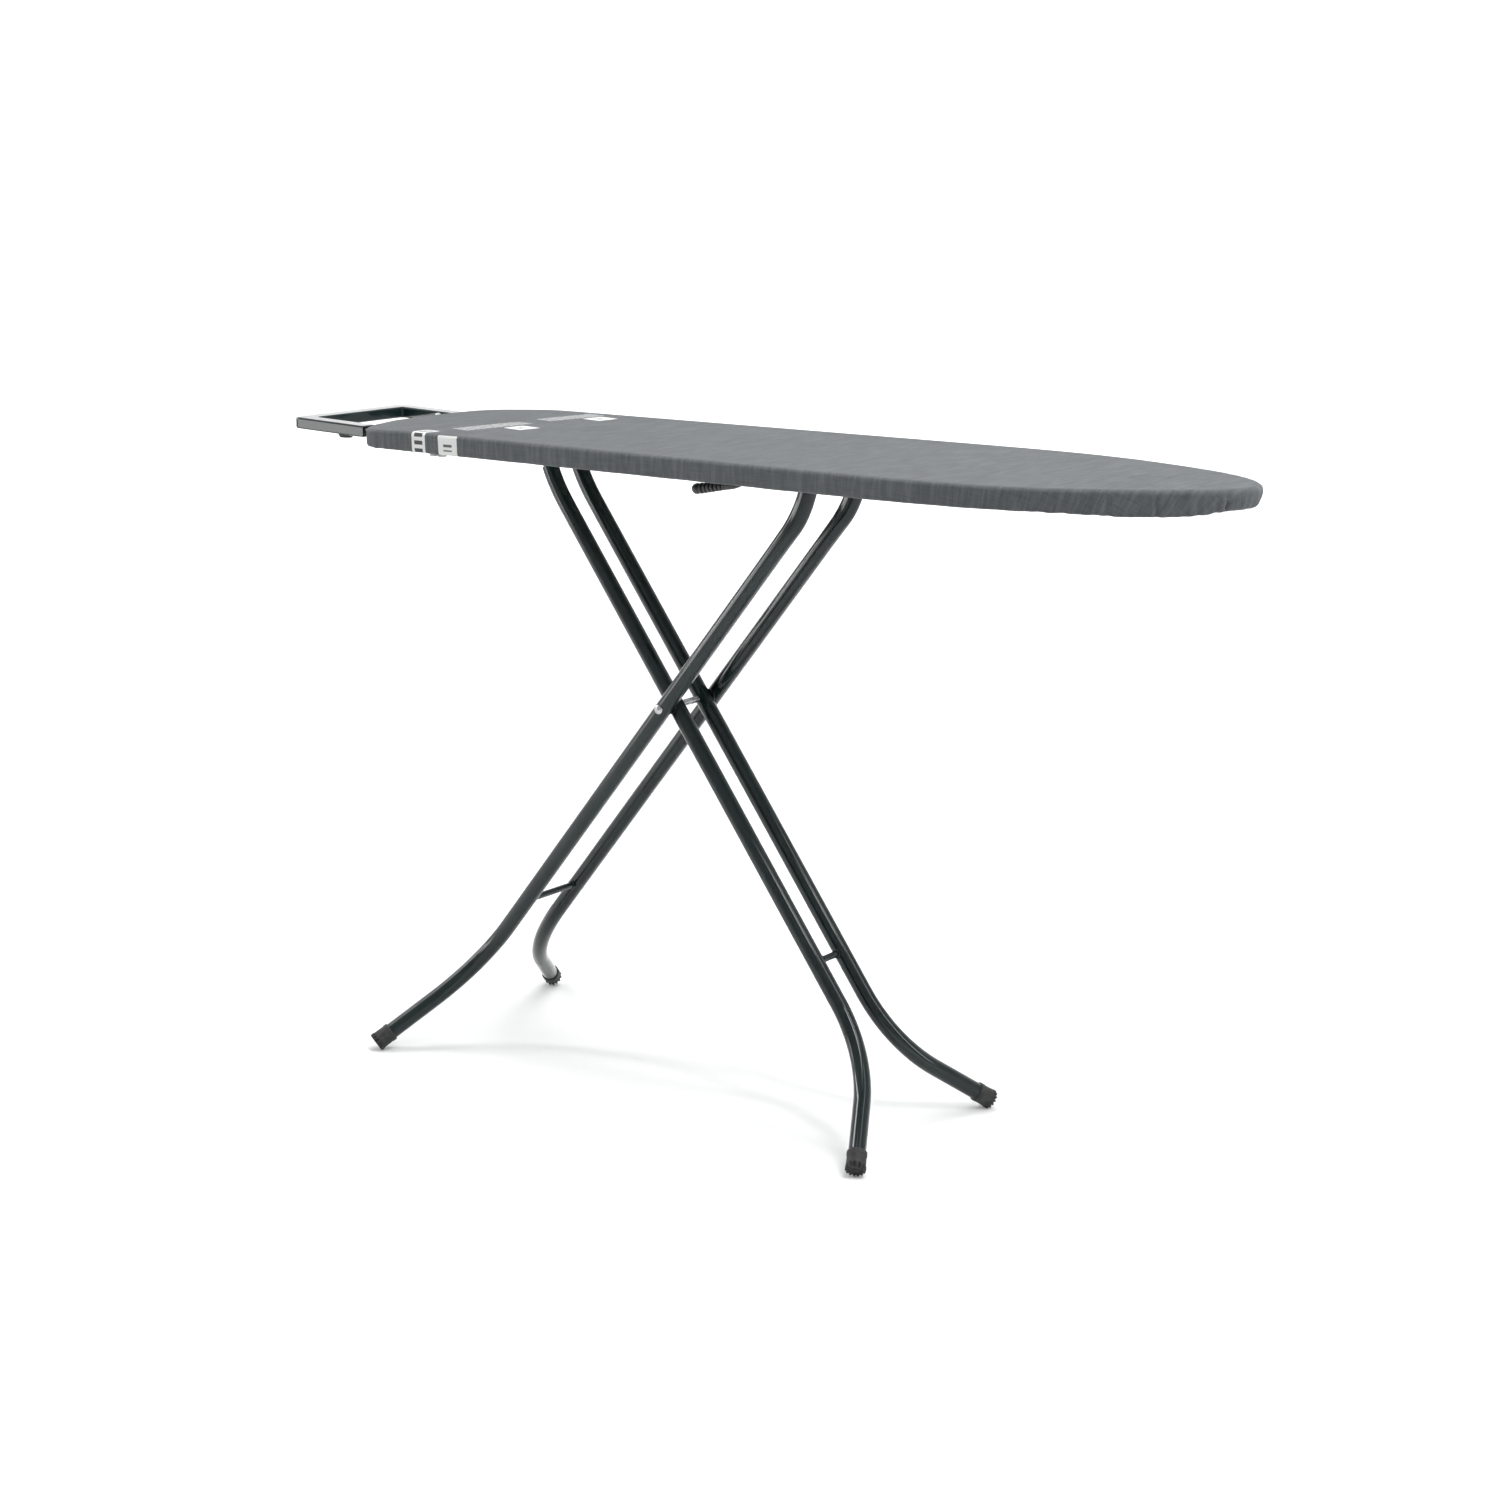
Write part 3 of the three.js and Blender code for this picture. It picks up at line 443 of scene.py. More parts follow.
def printed(f, across, along, name, inset=0.0):
    """A mask that is 1 inside one of the prints, or inside it by an inset, and the place along its height."""
    x, y, width, height, turn = PRINTS[name]
    c, s = math.cos(math.radians(turn)), math.sin(math.radians(turn))
    dx = f.maths("SUBTRACT", across, x * 0.001)
    dy = f.maths("SUBTRACT", along, y * 0.001)
    u = f.maths("ADD", f.maths("MULTIPLY", dx, c), f.maths("MULTIPLY", dy, s))
    v = f.maths("SUBTRACT", f.maths("MULTIPLY", dy, c), f.maths("MULTIPLY", dx, s))
    masks = []
    for place, size in ((u, width), (v, height)):
        reach = size * 0.0005 - inset
        off = f.maths("ABSOLUTE", place)
        masks.append(f.remap(off, reach - PRINT_BLUR / 2, reach + PRINT_BLUR / 2, 1, 0, smooth=True))
    return f.maths("MULTIPLY", *masks), v


def fabric_finish():
    """Grey cotton in plain weave: slubs along both threads, faded light prints, and a soft nap."""
    f = Finish("woven cotton", Roughness=0.92, Sheen_Weight=0.12, Sheen_Roughness=0.5,
               Specular_IOR_Level=0.15)
    at = f.node("ShaderNodeAttribute", attribute_name="cloth").outputs["Vector"]
    split = f.node("ShaderNodeSeparateXYZ", {"Vector": at})
    across, along = split.outputs[0], split.outputs[1]
    waves = [f.maths("SINE", f.maths("MULTIPLY", c, 2 * math.pi / WEAVE)) for c in (across, along)]
    weave = f.maths("MULTIPLY", *waves)
    warp = f.noise(f.stretched(at, (700, 30, 1)), 1.0, 4.0, 0.6)
    weft = f.noise(f.stretched(at, (30, 700, 1)), 1.0, 4.0, 0.6)
    slubs = f.maths("ADD", warp, weft)
    cloudy = f.noise(at, 14.0, 4.0, 0.6)
    streaks = f.noise(f.stretched(at, (190, 22, 1)), 1.0, 3.0, 0.6)
    base = f.mix(f.remap(slubs, 0.75, 1.25, 0, 1), (0.062, 0.068, 0.071, 1), (0.1, 0.108, 0.112, 1))
    base = f.mix(f.remap(cloudy, 0.3, 0.7, 0, 0.4), base, (0.078, 0.084, 0.09, 1))
    base = f.mix(f.remap(streaks, 0.5, 0.72, 0, 0.4), base, (0.14, 0.15, 0.155, 1))
    base = f.mix(f.remap(streaks, 0.28, 0.5, 0.4, 0), base, (0.045, 0.05, 0.052, 1))
    base = f.mix(f.remap(weave, -1, 1, 0.16, 0), base, (0.034, 0.037, 0.038, 1))

    faded = f.remap(f.noise(at, 260.0, 4.0, 0.7), 0.35, 0.6, 0.2, 0.6)
    for name in PRINTS:
        mask, v = printed(f, across, along, name)
        share = f.maths("MULTIPLY", mask, faded if "strip" in name else 0.93)
        if "strip" in name:
            share = f.maths("MULTIPLY", share, stripes(f, v, STRIP_PITCH, -0.5, -0.1, faint=0.15))
        base = f.mix(share, base, INK)
        if name == "side_band":
            inner = printed(f, across, along, name, inset=BAND_MARGIN)[0]
            ticks = stripes(f, v, BAND_PITCH, -0.2, 0.1)
            base = f.mix(f.maths("MULTIPLY", inner, ticks), base, (0.05, 0.053, 0.056, 1))
        if "patch" in name:
            inner = printed(f, across, along, name, inset=PATCH_MARGIN)[0]
            bars = stripes(f, v, PATCH_PITCH, -0.1, 0.2)
            base = f.mix(f.maths("MULTIPLY", inner, bars), base, (0.09, 0.095, 0.1, 1))
    height = f.maths("ADD", f.maths("MULTIPLY", weave, 0.5), f.maths("MULTIPLY", slubs, 1.6))
    f.use(Base_Color=base, Normal=f.bump(height, 0.55, 0.0005))
    return f.material


FABRIC = fabric_finish()
PAINT = paint_finish()
ZINC = zinc_finish()
RUBBER = rubber_finish()
PLASTIC = plastic_finish()
PANEL = panel_finish()
FELT = felt_finish()

# ---------------------------------------------------------------- the board's outline


def half_outline():
    """From the nose tip round to the middle of the square end, on the +Y side."""
    points = []
    join_x = NOSE_X - NOSE_JOIN_HALF_WIDTH ** 2 / NOSE_PARABOLA
    for t in steps(60):
        y = NOSE_JOIN_HALF_WIDTH * t
        points.append((NOSE_X - y * y / NOSE_PARABOLA, y))
    run = join_x - WIDEST_X
    for t in steps(40)[1:]:
        keep = 2 * t ** 3 - 3 * t ** 2 + 1
        rise = (t ** 3 - 2 * t ** 2 + t) * run * NOSE_JOIN_SLOPE
        points.append((join_x - run * t, keep * NOSE_JOIN_HALF_WIDTH + rise + (1 - keep) * MAX_HALF_WIDTH))
    corner_x = BOARD_END_X + END_CORNER_R
    corner_y = END_HALF_WIDTH - END_CORNER_R
    for t in steps(24):
        a = t * math.pi / 2
        points.append((corner_x - END_CORNER_R * math.sin(a), corner_y + END_CORNER_R * math.cos(a)))
    for t in steps(12)[1:]:
        y = corner_y * (1 - t)
        points.append((BOARD_END_X - END_BULGE * (1 - (y / corner_y) ** 2), y))
    return [Vector(p) for p in points]


class Outline:
    """The closed outline in even steps, with each point's outward normal and distance from the nose tip."""

    def __init__(self, step):
        half = half_outline()
        line = half + [Vector((p.x, -p.y)) for p in reversed(half[1:-1])]
        lengths = [(line[(i + 1) % len(line)] - p).length for i, p in enumerate(line)]
        self.round = sum(lengths)
        count = round(self.round / step / 2) * 2
        self.points, i, done = [], 0, 0.0
        for k in range(count):
            goal = k * self.round / count
            while done + lengths[i] < goal:
                done += lengths[i]
                i += 1
            self.points.append(line[i].lerp(line[(i + 1) % len(line)], (goal - done) / lengths[i]))
        self.normals = []
        for k in range(count):
            along = self.points[(k + 2) % count] - self.points[k - 2]
            self.normals.append(Vector((along.y, -along.x)).normalized())
        self.from_tip = [k * self.round / count for k in range(count)]
        self.from_tip = [s if s < self.round / 2 else s - self.round for s in self.from_tip]

    def moved(self, inset, draw=False):
        insets = [inset + (nose_draw(p.x) if draw else 0) for p in self.points]
        return [p - n * d for p, n, d in zip(self.points, self.normals, insets)]


def nose_draw(x):
    """How far the edge tube stands in from the outline."""
    return NOSE_DRAW * smoothstep(NOSE_X - 165, NOSE_X - 20, x)


def hem_draw(x):
    """How far the cover's lower edge is pulled in."""
    return HEM_DRAW * smoothstep(NOSE_X - 54, NOSE_X - 2, x)


def nose_share(x):
    """How near a place is to the nose, for what changes along the last stretch before it."""
    return smoothstep(NOSE_X - 210, NOSE_X - 20, x)


def corner_droop(x, y):
    """How far the gathered hem presses the felt down at the two corners of the square end."""
    by_the_end = 1 - smoothstep(BOARD_END_X + 10, BOARD_END_X + 95, x)
    return CORNER_DROOP * by_the_end * smoothstep(60, 145, abs(y))


def end_share(x):
    """How near a place is to either gathered end of the cover."""
    at_square_end = 1 - smoothstep(BOARD_END_X + 20, BOARD_END_X + 130, x)
    return max(smoothstep(NOSE_X - 300, NOSE_X - 90, x), at_square_end)


def wobble(x, y, seed):
    return noise.noise(Vector((x, y, seed)))


# ---------------------------------------------------------------- cover and pad

PLEATS = (11, 24, 38, 49, 66, 83, 108, 131, 157)  # distances from the nose tip, along the edge
PLEAT_WIDTH = 2.3
PLEAT_DEPTH = 3.4


def fold_depth(s, x):
    """How far the cover's side stands out or in at a distance along the edge, before the hem gathers it."""
    ends = end_share(x)
    long_folds = wobble(s / 34, 0, 3.1) * (0.5 + 0.9 * ends)
    puckers = ends * 0.8 * math.sin(2 * math.pi * (s / 9.5 + 0.6 * wobble(s / 26, 0, 8.4)))
    fine = 0.3 * wobble(s / 6, 0, 5.5) * (0.5 + ends)
    return long_folds + puckers + fine


def pleat_depth(s):
    """Near 0 away from the pleats, and up to about 1 in the middle of one."""
    return sum(
        math.exp(-((abs(s) - place) / PLEAT_WIDTH) ** 2) * (0.6 + 0.4 * math.sin(place))
        for place in PLEATS
    )


def cover_column(outline, k):
    """One column of the cover, from shoulder to hem: each row's place, and its place on the flat cloth."""
    p, n, s = outline.points[k], outline.normals[k], outline.from_tip[k]
    nose = nose_share(p.x)
    ends = end_share(p.x)
    draw = hem_draw(p.x)
    shoulder = SHOULDER_R + 1.6 * nose
    top = TOP_Z - CLOTH_T / 2 + NOSE_PUFF * nose - corner_droop(p.x, p.y)
    low_r = LOW_R + 0.25 * draw
    fold = fold_depth(s, p.x)
    pleat = pleat_depth(s) * nose
    sag = 1.6 * smoothstep(NOSE_X - 170, NOSE_X - 90, p.x)
    hem = HEM_Z + CLOTH_T / 2 - 0.4 + 1.3 * ends * wobble(s / 11, 1, 2.2) + 0.3 * wobble(s / 40, 1, 6.1)
    hem += 0.9 * draw - sag
    rows, run = [], 0.0

    def put(inset, z, drape, drop=0.0, under=0.0):
        push = fold * drape - pleat * drape * PLEAT_DEPTH
        rows.append((p + n * (push - inset - draw * under - CLOTH_T / 2 - 0.5 * drape), z + drop))

    for t in steps(6):
        a = t * math.pi / 2
        put(shoulder * (1 - math.sin(a)), top - shoulder * (1 - math.cos(a)), 0.25 + 0.25 * t * t,
            -0.7 * pleat * (1 - t))
    side_top = top - shoulder
    side_low = hem + low_r
    for t in steps(7)[1:]:
        put(0, side_top + (side_low - side_top) * t, 0.5 + 0.5 * t, under=0.6 * t * t)
    for t in steps(5)[1:]:
        a = t * math.pi / 2
        put(low_r * (1 - math.cos(a)), hem + low_r * (1 - math.sin(a)), 1 - 0.35 * t, under=0.6 + 0.4 * t)
    gather = ends * 0.8 * math.sin(2 * math.pi * (s / 8.3 + 0.5 * wobble(s / 30, 2, 1.7)))
    for t in steps(5)[1:]:
        inset = low_r + (HEM_TURN - low_r) * t
        put(inset, hem + 0.5 * t, 0.65 - 0.45 * t, gather * t * 0.9 + 0.9 * ends * t, under=1.0)
    for t in steps(6)[1:]:
        a = t * math.pi * 1.4
        put(HEM_TURN + 1.3 * math.sin(a), hem + 0.5 + 1.3 * (1 - math.cos(a)), 0.2,
            gather * 0.9 + 0.9 * ends, under=1.0)

    placed = []
    last = None
    for flat, z in rows:
        here = Vector((flat.x, flat.y, z))
        run += (here - last).length if last else 0.0
        last = here
        cloth = p - n * shoulder + n * run
        placed.append((here, Vector((cloth.x, cloth.y, 0))))
    return placed


def top_height(x, y):
    """The flat top of the cover: nearly level, with slow waves and a few slack creases by the square end."""
    waves = 0.3 * wobble(x / 90, y / 55, 0.7) + 0.12 * wobble(x / 24, y / 30, 4.4)
    slack = 1 - smoothstep(BOARD_END_X, BOARD_END_X + 160, x)
    creases = 0.22 * slack * wobble(x / 16, y / 60, 9.3)
    return min(waves + creases, 0.35) - 0.35


def make_cover():
    outline = Outline(CLOTH_STEP)
    columns = [cover_column(outline, k) for k in range(len(outline.points))]
    shell = Shell()
    rings = []
    spine = [BOARD_END_X + 110, NOSE_X - 150]
    for t in [1 - (1 - u) ** 1.25 for u in steps(22)]:
        places = []
        for column in columns:
            edge = column[0][0]
            centre = Vector((min(max(edge.x, spine[0]), spine[1]), 0, edge.z))
            place = centre.lerp(edge, t)
            blend = smoothstep(1, 0.86, t)
            pressed = corner_droop(edge.x, edge.y) - corner_droop(place.x, place.y)
            place.z = edge.z + top_height(place.x, place.y) * blend + pressed
            places.append(place)
        if t < 1e-9:
            continue
        rings.append(shell.ring(places))
        shell.cloth.extend(places)
    shell.lace(rings[0])
    for row in range(1, len(columns[0])):
        rings.append(shell.ring([column[row][0] for column in columns]))
        shell.cloth.extend(column[row][1] for column in columns)
    for a, b in zip(rings, rings[1:]):
        shell.bridge(a, b)
    cover = show("cover_cloth", shell, FABRIC, "board", ["cover"], sharp=70, closed=False)
    outward(cover)
    thick = cover.modifiers.new("cloth thickness", "SOLIDIFY")
    thick.thickness = CLOTH_T * 0.001
    thick.offset = 0


def make_pad():
    """The felt under the cover: a closed slab, crowned a little, with a soft cut edge."""
    low, high = box("underpad")
    outline = Outline(8)
    shell = Shell()
    middle = (low.z + high.z) / 2
    half = (high.z - low.z) / 2
    inset = MAX_HALF_WIDTH - high.y
    rows = []
    for face in (1, -1):
        for t in (0.0, 0.3, 0.6, 0.85, 1.0):
            rows.append((t, face, face * half * (1 if t < 0.9 else 0.93)))
        rows.append((None, face, face * half * 0.5))
    top, bottom = rows[:6], rows[6:]
    rings = []
    for t, face, z in top + bottom[::-1]:
        ring = []
        for p, n in zip(outline.points, outline.normals):
            edge = p - n * (inset + (0.9 if t is not None else 0.1))
            centre = Vector((min(max(edge.x, BOARD_END_X + 110), NOSE_X - 150), 0))
            flat = edge if t is None else centre.lerp(edge, 0.02 + 0.98 * t)
            lumps = 0.12 * wobble(flat.x / 11, flat.y / 11, face * 3.3)
            pressed = corner_droop(flat.x, flat.y) * (z + half) / (2 * half)
            ring.append((flat.x, flat.y, middle + z - face * abs(lumps) - pressed))
        rings.append(shell.ring(ring))
    for a, b in zip(rings, rings[1:]):
        shell.bridge(a, b)
    for ring in (rings[0], rings[-1]):
        shell.lace(ring)
    pad = show("pad_felt", shell, FELT, "board", ["underpad"], sharp=60)


# ---------------------------------------------------------------- steel top

CELL_X, CELL_Y = 21.0, 10.0  # one diamond of the expanded mesh
STRAND = 1.5  # half width of a strand between two holes
MARGIN = 11  # the plain edge round the mesh


def make_panel():
    """Expanded steel mesh: a lattice with a diamond hole in each cell, welded to a plain margin."""
    low, high = box("top_panel")
    outline = Outline(6)
    z = (low.z + high.z) / 2
    inset = MAX_HALF_WIDTH - high.y
    shell = Shell()
    rims = [shell.ring((q.x, q.y, z) for q in outline.moved(d)) for d in (inset, inset + MARGIN)]
    shell.bridge(*rims)
    widths = sorted((q.x, abs(q.y)) for q in outline.moved(inset + 5))

    def inside(x, y):
        near = [w for qx, w in widths if abs(qx - x) < 8]
        return bool(near) and abs(y) < min(near) and widths[0][0] + 4 < x < widths[-1][0] - 10

    corners = {}

    def corner(x, y):
        key = (round(x * 2), round(y * 2))
        if key not in corners:
            corners[key] = shell.ring([(x, y, z + 0.05)])[0]
        return corners[key]

    shrink = 1 - STRAND * math.hypot(CELL_X, CELL_Y) / (CELL_X * CELL_Y / 2)
    rows = int(2 * high.y / CELL_Y * 2)
    cols = int((high.x - low.x) / CELL_X) + 1
    for j in range(-rows // 2, rows // 2 + 1):
        for i in range(cols + 1):
            x = low.x + CELL_X * (i + (0.5 if j % 2 else 0))
            y = j * CELL_Y / 2
            if not inside(x, y):
                continue
            spots = [(x + CELL_X / 2, y), (x, y + CELL_Y / 2), (x - CELL_X / 2, y), (x, y - CELL_Y / 2)]
            outer = [corner(*spot) for spot in spots]
            inner = shell.ring((x + (a - x) * shrink, y + (b - y) * shrink, z + 0.05) for a, b in spots)
            shell.bridge(outer, inner)
    panel = show("panel_mesh", shell, PANEL, "board", ["top_panel"], sharp=30, closed=False)
    outward(panel)
    thick = panel.modifiers.new("steel thickness", "SOLIDIFY")
    thick.thickness = (high.z - low.z) * 0.001
    thick.offset = 0


def make_edge_tubes():
    """The square tube round the board, in four lengths that meet at small gaps."""
    outline = Outline(3)
    low, high = box("edge_tube_left")
    inset = MAX_HALF_WIDTH - high.y + EDGE_TUBE / 2
    ring = [Vector((q.x, q.y, (low.z + high.z) / 2)) for q in outline.moved(inset, draw=True)]
    section = rounded_square(EDGE_TUBE, 2.2)
    bore = rounded_square(EDGE_TUBE - 1.8, 1.3)
    count = len(ring)
    for node in ("edge_tube_nose", "edge_tube_left", "edge_tube_right", "edge_tube_rear"):
        low, high = box(node)
        reach = [i for i in range(count) if low.x - 0.01 <= ring[i].x <= high.x + 0.01
                 and low.y - 4 <= ring[i].y <= high.y + 4]
        start = next(k for k, i in enumerate(reach) if (i - 1) % count not in reach)
        order = reach[start:] + reach[:start]
        line = [ring[i] for i in order]
        show(node.replace("edge_tube", "edge_frame"), sweep(Shell(), line, section, hollow=bore), PAINT,
             "board", [node])


# ---------------------------------------------------------------- legs


class Leg:
    """A pair of bent tubes. Its top stands toward +X or -X of the pivot, and lean is its slope, X over Z."""

    def __init__(self, name, toward, lean, top_z, bend_z, bend_r, splay_z, splay_r, flat):
        self.name, self.toward, self.lean = name, toward, lean
        self.top_z, self.bend_z, self.bend_r = top_z, bend_z, bend_r
        self.splay_z, self.splay_r = splay_z, splay_r
        self.flat = flat
        low, high = box(f"{name}_tongue_left")
        self.half_gap = (low.y + high.y) / 2
        self.down = Vector((-toward * lean, 0, -1)).normalized()

    def pressed(self, z):
        """How the tube is squeezed flat at its top end: its width in the leg's plane, and across it."""
        share = self.flat * smoothstep(self.top_z - 62, self.top_z - 30, z)
        return 1 + 0.2 * share, 1 - 0.3 * share

    def straight_x(self, z):
        return PIVOT.x + self.toward * self.lean * (z - PIVOT.z)

    def bend_x(self, z):
        lean = math.atan(self.lean)
        turned = math.asin(math.sin(lean) - (z - self.bend_z) / self.bend_r)
        return self.straight_x(self.bend_z) + self.toward * self.bend_r * (math.cos(turned) - math.cos(lean))

    def splayed(self, start, aside, angle):
        """The tube's centre once it has turned aside by an angle."""
        ahead = start + self.down * self.splay_r * math.sin(angle)
        return ahead + aside * self.splay_r * (1 - math.cos(angle))

    def foot_frame(self, sign):
        """The side the foot splays to, its axis, where the splay starts, and the middle of the sole."""
        aside = Vector((0, sign, 0))
        axis = self.down * math.cos(SPLAY_ANGLE) + aside * math.sin(SPLAY_ANGLE)
        start = Vector((self.straight_x(self.splay_z), sign * self.half_gap, self.splay_z))
        bent = self.splayed(start, aside, SPLAY_ANGLE)
        end_z = FOOT_R * math.hypot(axis.x, axis.y) - FOOT_FLAT
        return aside, axis, start, bent + axis * ((end_z - bent.z) / axis.z)

    def line(self, sign):
        """The tube's centre line, from its top to inside its foot."""
        y = sign * self.half_gap
        points = []
        for t in steps(14):
            z = self.top_z + (self.bend_z - self.top_z) * t
            points.append(Vector((self.bend_x(z), y, z)))
        aside, axis, start, end = self.foot_frame(sign)
        for t in steps(24)[1:-1]:
            points.append(points[14].lerp(start, t))
        points.extend(self.splayed(start, aside, SPLAY_ANGLE * t) for t in steps(28))
        last = end - axis * 4.3
        points.extend(points[-1].lerp(last, t) for t in (0.5, 1.0))
        return points


LEGS = (
    Leg("inner_leg", toward=-1, lean=0.743, top_z=734, bend_z=690, bend_r=200,
        splay_z=150.5, splay_r=160, flat=0.3),
    Leg("outer_leg", toward=1, lean=0.826, top_z=739, bend_z=690, bend_r=130,
        splay_z=156.4, splay_r=180, flat=0.8),
)
SIDES = (("left", 1), ("right", -1))


def foot_profile():
    """Radius and distance from the sole: collar, waist, toothed rim, and a dished sole."""
    return [
        (TUBE_R + 0.25, FOOT_LENGTH - 2.5), (TUBE_R + 0.25, FOOT_LENGTH), (FOOT_R - 0.9, FOOT_LENGTH),
        (FOOT_R - 0.1, FOOT_LENGTH - 1.0), (FOOT_R, FOOT_LENGTH - 2.0), (FOOT_R, FOOT_LENGTH - 5.4),
        (FOOT_R - 0.5, FOOT_LENGTH - 6.2), (FOOT_R - 0.3, 6.2), (FOOT_R - 0.2, 5.6), (FOOT_R + 0.2, 5.0),
        (FOOT_R + 0.2, 1.2), (FOOT_R - 0.2, 0.3), (FOOT_R - 1.6, 0.0), (FOOT_R - 3.4, 0.0),
        (FOOT_R - 3.9, 0.8), (4.2, 0.8), (3.8, 0.2), (0, 0.2),
    ]


FIRST_NOTCHED_ROW = 9  # of foot_profile()
NOTCH_DEPTHS = (1.4, 2.9, 2.9, 2.6, 1.2)  # row by row
COLUMNS_PER_TOOTH = 4


def tooth(i, row):
    """Notches round the rim of the sole: half of each tooth's columns are cut back."""
    if not 0 <= row - FIRST_NOTCHED_ROW < len(NOTCH_DEPTHS):
        return 0.0
    cut = i % COLUMNS_PER_TOOTH >= COLUMNS_PER_TOOTH // 2
    return -NOTCH_DEPTHS[row - FIRST_NOTCHED_ROW] if cut else 0.05


def make_foot(leg, side, sign):
    _, axis, _, end = leg.foot_frame(sign)
    sides = COLUMNS_PER_TOOTH * FOOT_TEETH
    shell = lathe(Shell(), foot_profile(), axis_place(end, -axis), sides=sides, ripple=tooth)
    for point in shell.points:
        point.z = max(point.z, 0)
    show(f"{leg.name}_cap_{side}", shell, RUBBER, leg.name,
         [f"{leg.name}_foot_{side}"], sharp=34)


def weld_bead(shell, centre, facing, radius, seed):
    """A lumpy ring of weld where a round bar meets a tube."""
    ring = []
    for i in range(28):
        a = 2 * math.pi * i / 28
        ring.append(centre + Vector((radius * math.cos(a), 0, radius * math.sin(a))))
    sections = []
    for i, p in enumerate(ring):
        out = (p - centre).normalized()
        lump = 1.0 + 0.28 * math.sin(i * 1.9 + seed) + 0.2 * wobble(i / 2, seed, 1)
        sections.append(shell.ring(
            p + (out * math.cos(b) + facing * math.sin(b)) * 1.15 * lump
            for b in [2 * math.pi * j / 8 for j in range(8)]
        ))
    for a, b in zip(sections, sections[1:] + sections[:1]):
        shell.bridge(a, b)


def make_crossbar(leg):
    """The round bar that joins a leg's two tubes, with its welds as a piece of their own."""
    low, high = box(f"{leg.name}_crossbar")
    x, z, r = (low.x + high.x) / 2, (low.z + high.z) / 2, (high.z - low.z) / 2
    half = high.y
    profile = [(0, -half), (r - 0.3, -half), (r, -half + 0.3), (r, 0),
               (r, half - 0.3), (r - 0.3, half), (0, half)]
    bar = lathe(Shell(), profile, axis_place(Vector((x, 0, z)), ALONG_Y), sides=28)
    show(f"{leg.name}_stretcher", bar, PAINT, leg.name, [f"{leg.name}_crossbar"])
    welds = Shell()
    for sign in (1, -1):
        weld_bead(welds, Vector((x, sign * (half - 1.0), z)), ALONG_Y * sign, r + 0.5, sign * 2.0)
    show(f"{leg.name}_stretcher_welds", welds, PAINT, leg.name, sharp=80)


def make_legs():
    section, bore = circle(TUBE_R, 36), circle(TUBE_R - TUBE_WALL, 36)
    for leg in LEGS:
        for side, sign in SIDES:
            line = leg.line(sign)
            flat = [leg.pressed(point.z) for point in line]
            tube = sweep(Shell(), line, section, up=ALONG_Y, hollow=bore, press=flat)
            show(f"{leg.name}_bent_tube_{side}", tube, PAINT, leg.name,
                 [f"{leg.name}_tube_{side}"])
            make_foot(leg, side, sign)
            dress(f"{leg.name}_tongue_{side}", PAINT)
        make_crossbar(leg)


def make_pivot():
    """A long rivet with domed, peened heads, and the spacer and washers that it passes through."""
    place = axis_place(PIVOT, ALONG_Y)
    outside = LEGS[1].half_gap + TUBE_R
    r = RIVET_HEAD_R
    head = [(r - 0.5, -0.1), (r, 0.25), (r, 0.75), (r - 0.35, 1.2), (r - 1.3, 1.75), (r - 1.8, 1.95),
            (r - 2.2, 1.85), (r - 3.1, 2.5), (r - 4.2, 2.85), (0, 3.0)]
    profile = [(a, outside + b) for a, b in head]
    shank = [(RIVET_R, -outside + 0.2), (RIVET_R, outside - 0.2)]
    mirrored = [(a, -outside - b) for a, b in reversed(head)]
    rivet = lathe(Shell(), mirrored + shank + profile, place, sides=40,
                  ripple=lambda i, row: 0.12 * math.sin(3 * 2 * math.pi * i / 40 + row))
    show("pivot_peened_rivet", rivet, ZINC, "inner_leg", ["pivot_rivet"])

    low, high = box("pivot_spacer")
    outer = (high.z - low.z) / 2
    half = high.y
    bore = RIVET_R + 0.3
    profile = [(bore, -half), (outer - 0.5, -half), (outer, -half + 0.5), (outer, half - 0.5),
               (outer - 0.5, half), (bore, half), (bore, -half)]
    spacer = lathe(Shell(), profile, place, sides=36)
    show("pivot_sleeve", spacer, ZINC, "inner_leg", ["pivot_spacer"])
    for side, _ in SIDES:
        dress(f"pivot_washer_{side}", PLASTIC, 0.15)


# ---------------------------------------------------------------- rods, lever and spring


def make_rod(name, node, body):
    """A plated rod with chamfered ends."""
    low, high = box(node)
    middle = (low + high) / 2
    r, half = (high.z - low.z) / 2, (high.y - low.y) / 2
    profile = [(0, -half), (r - 0.7, -half), (r, -half + 0.7), (r, half - 0.7), (r - 0.7, half), (0, half)]
    rod = lathe(Shell(), profile, axis_place(middle, ALONG_Y), sides=32)
    show(name, rod, ZINC, body, [node])


GRIP_TIP = Vector((6, -100, 736.5))
GRIP_SLOPE = 0.14
GRIP_LENGTH = 60
WIRE_R = 3
WIRE_BEND_R = 9
SPRING_WIRE_R = 0.8


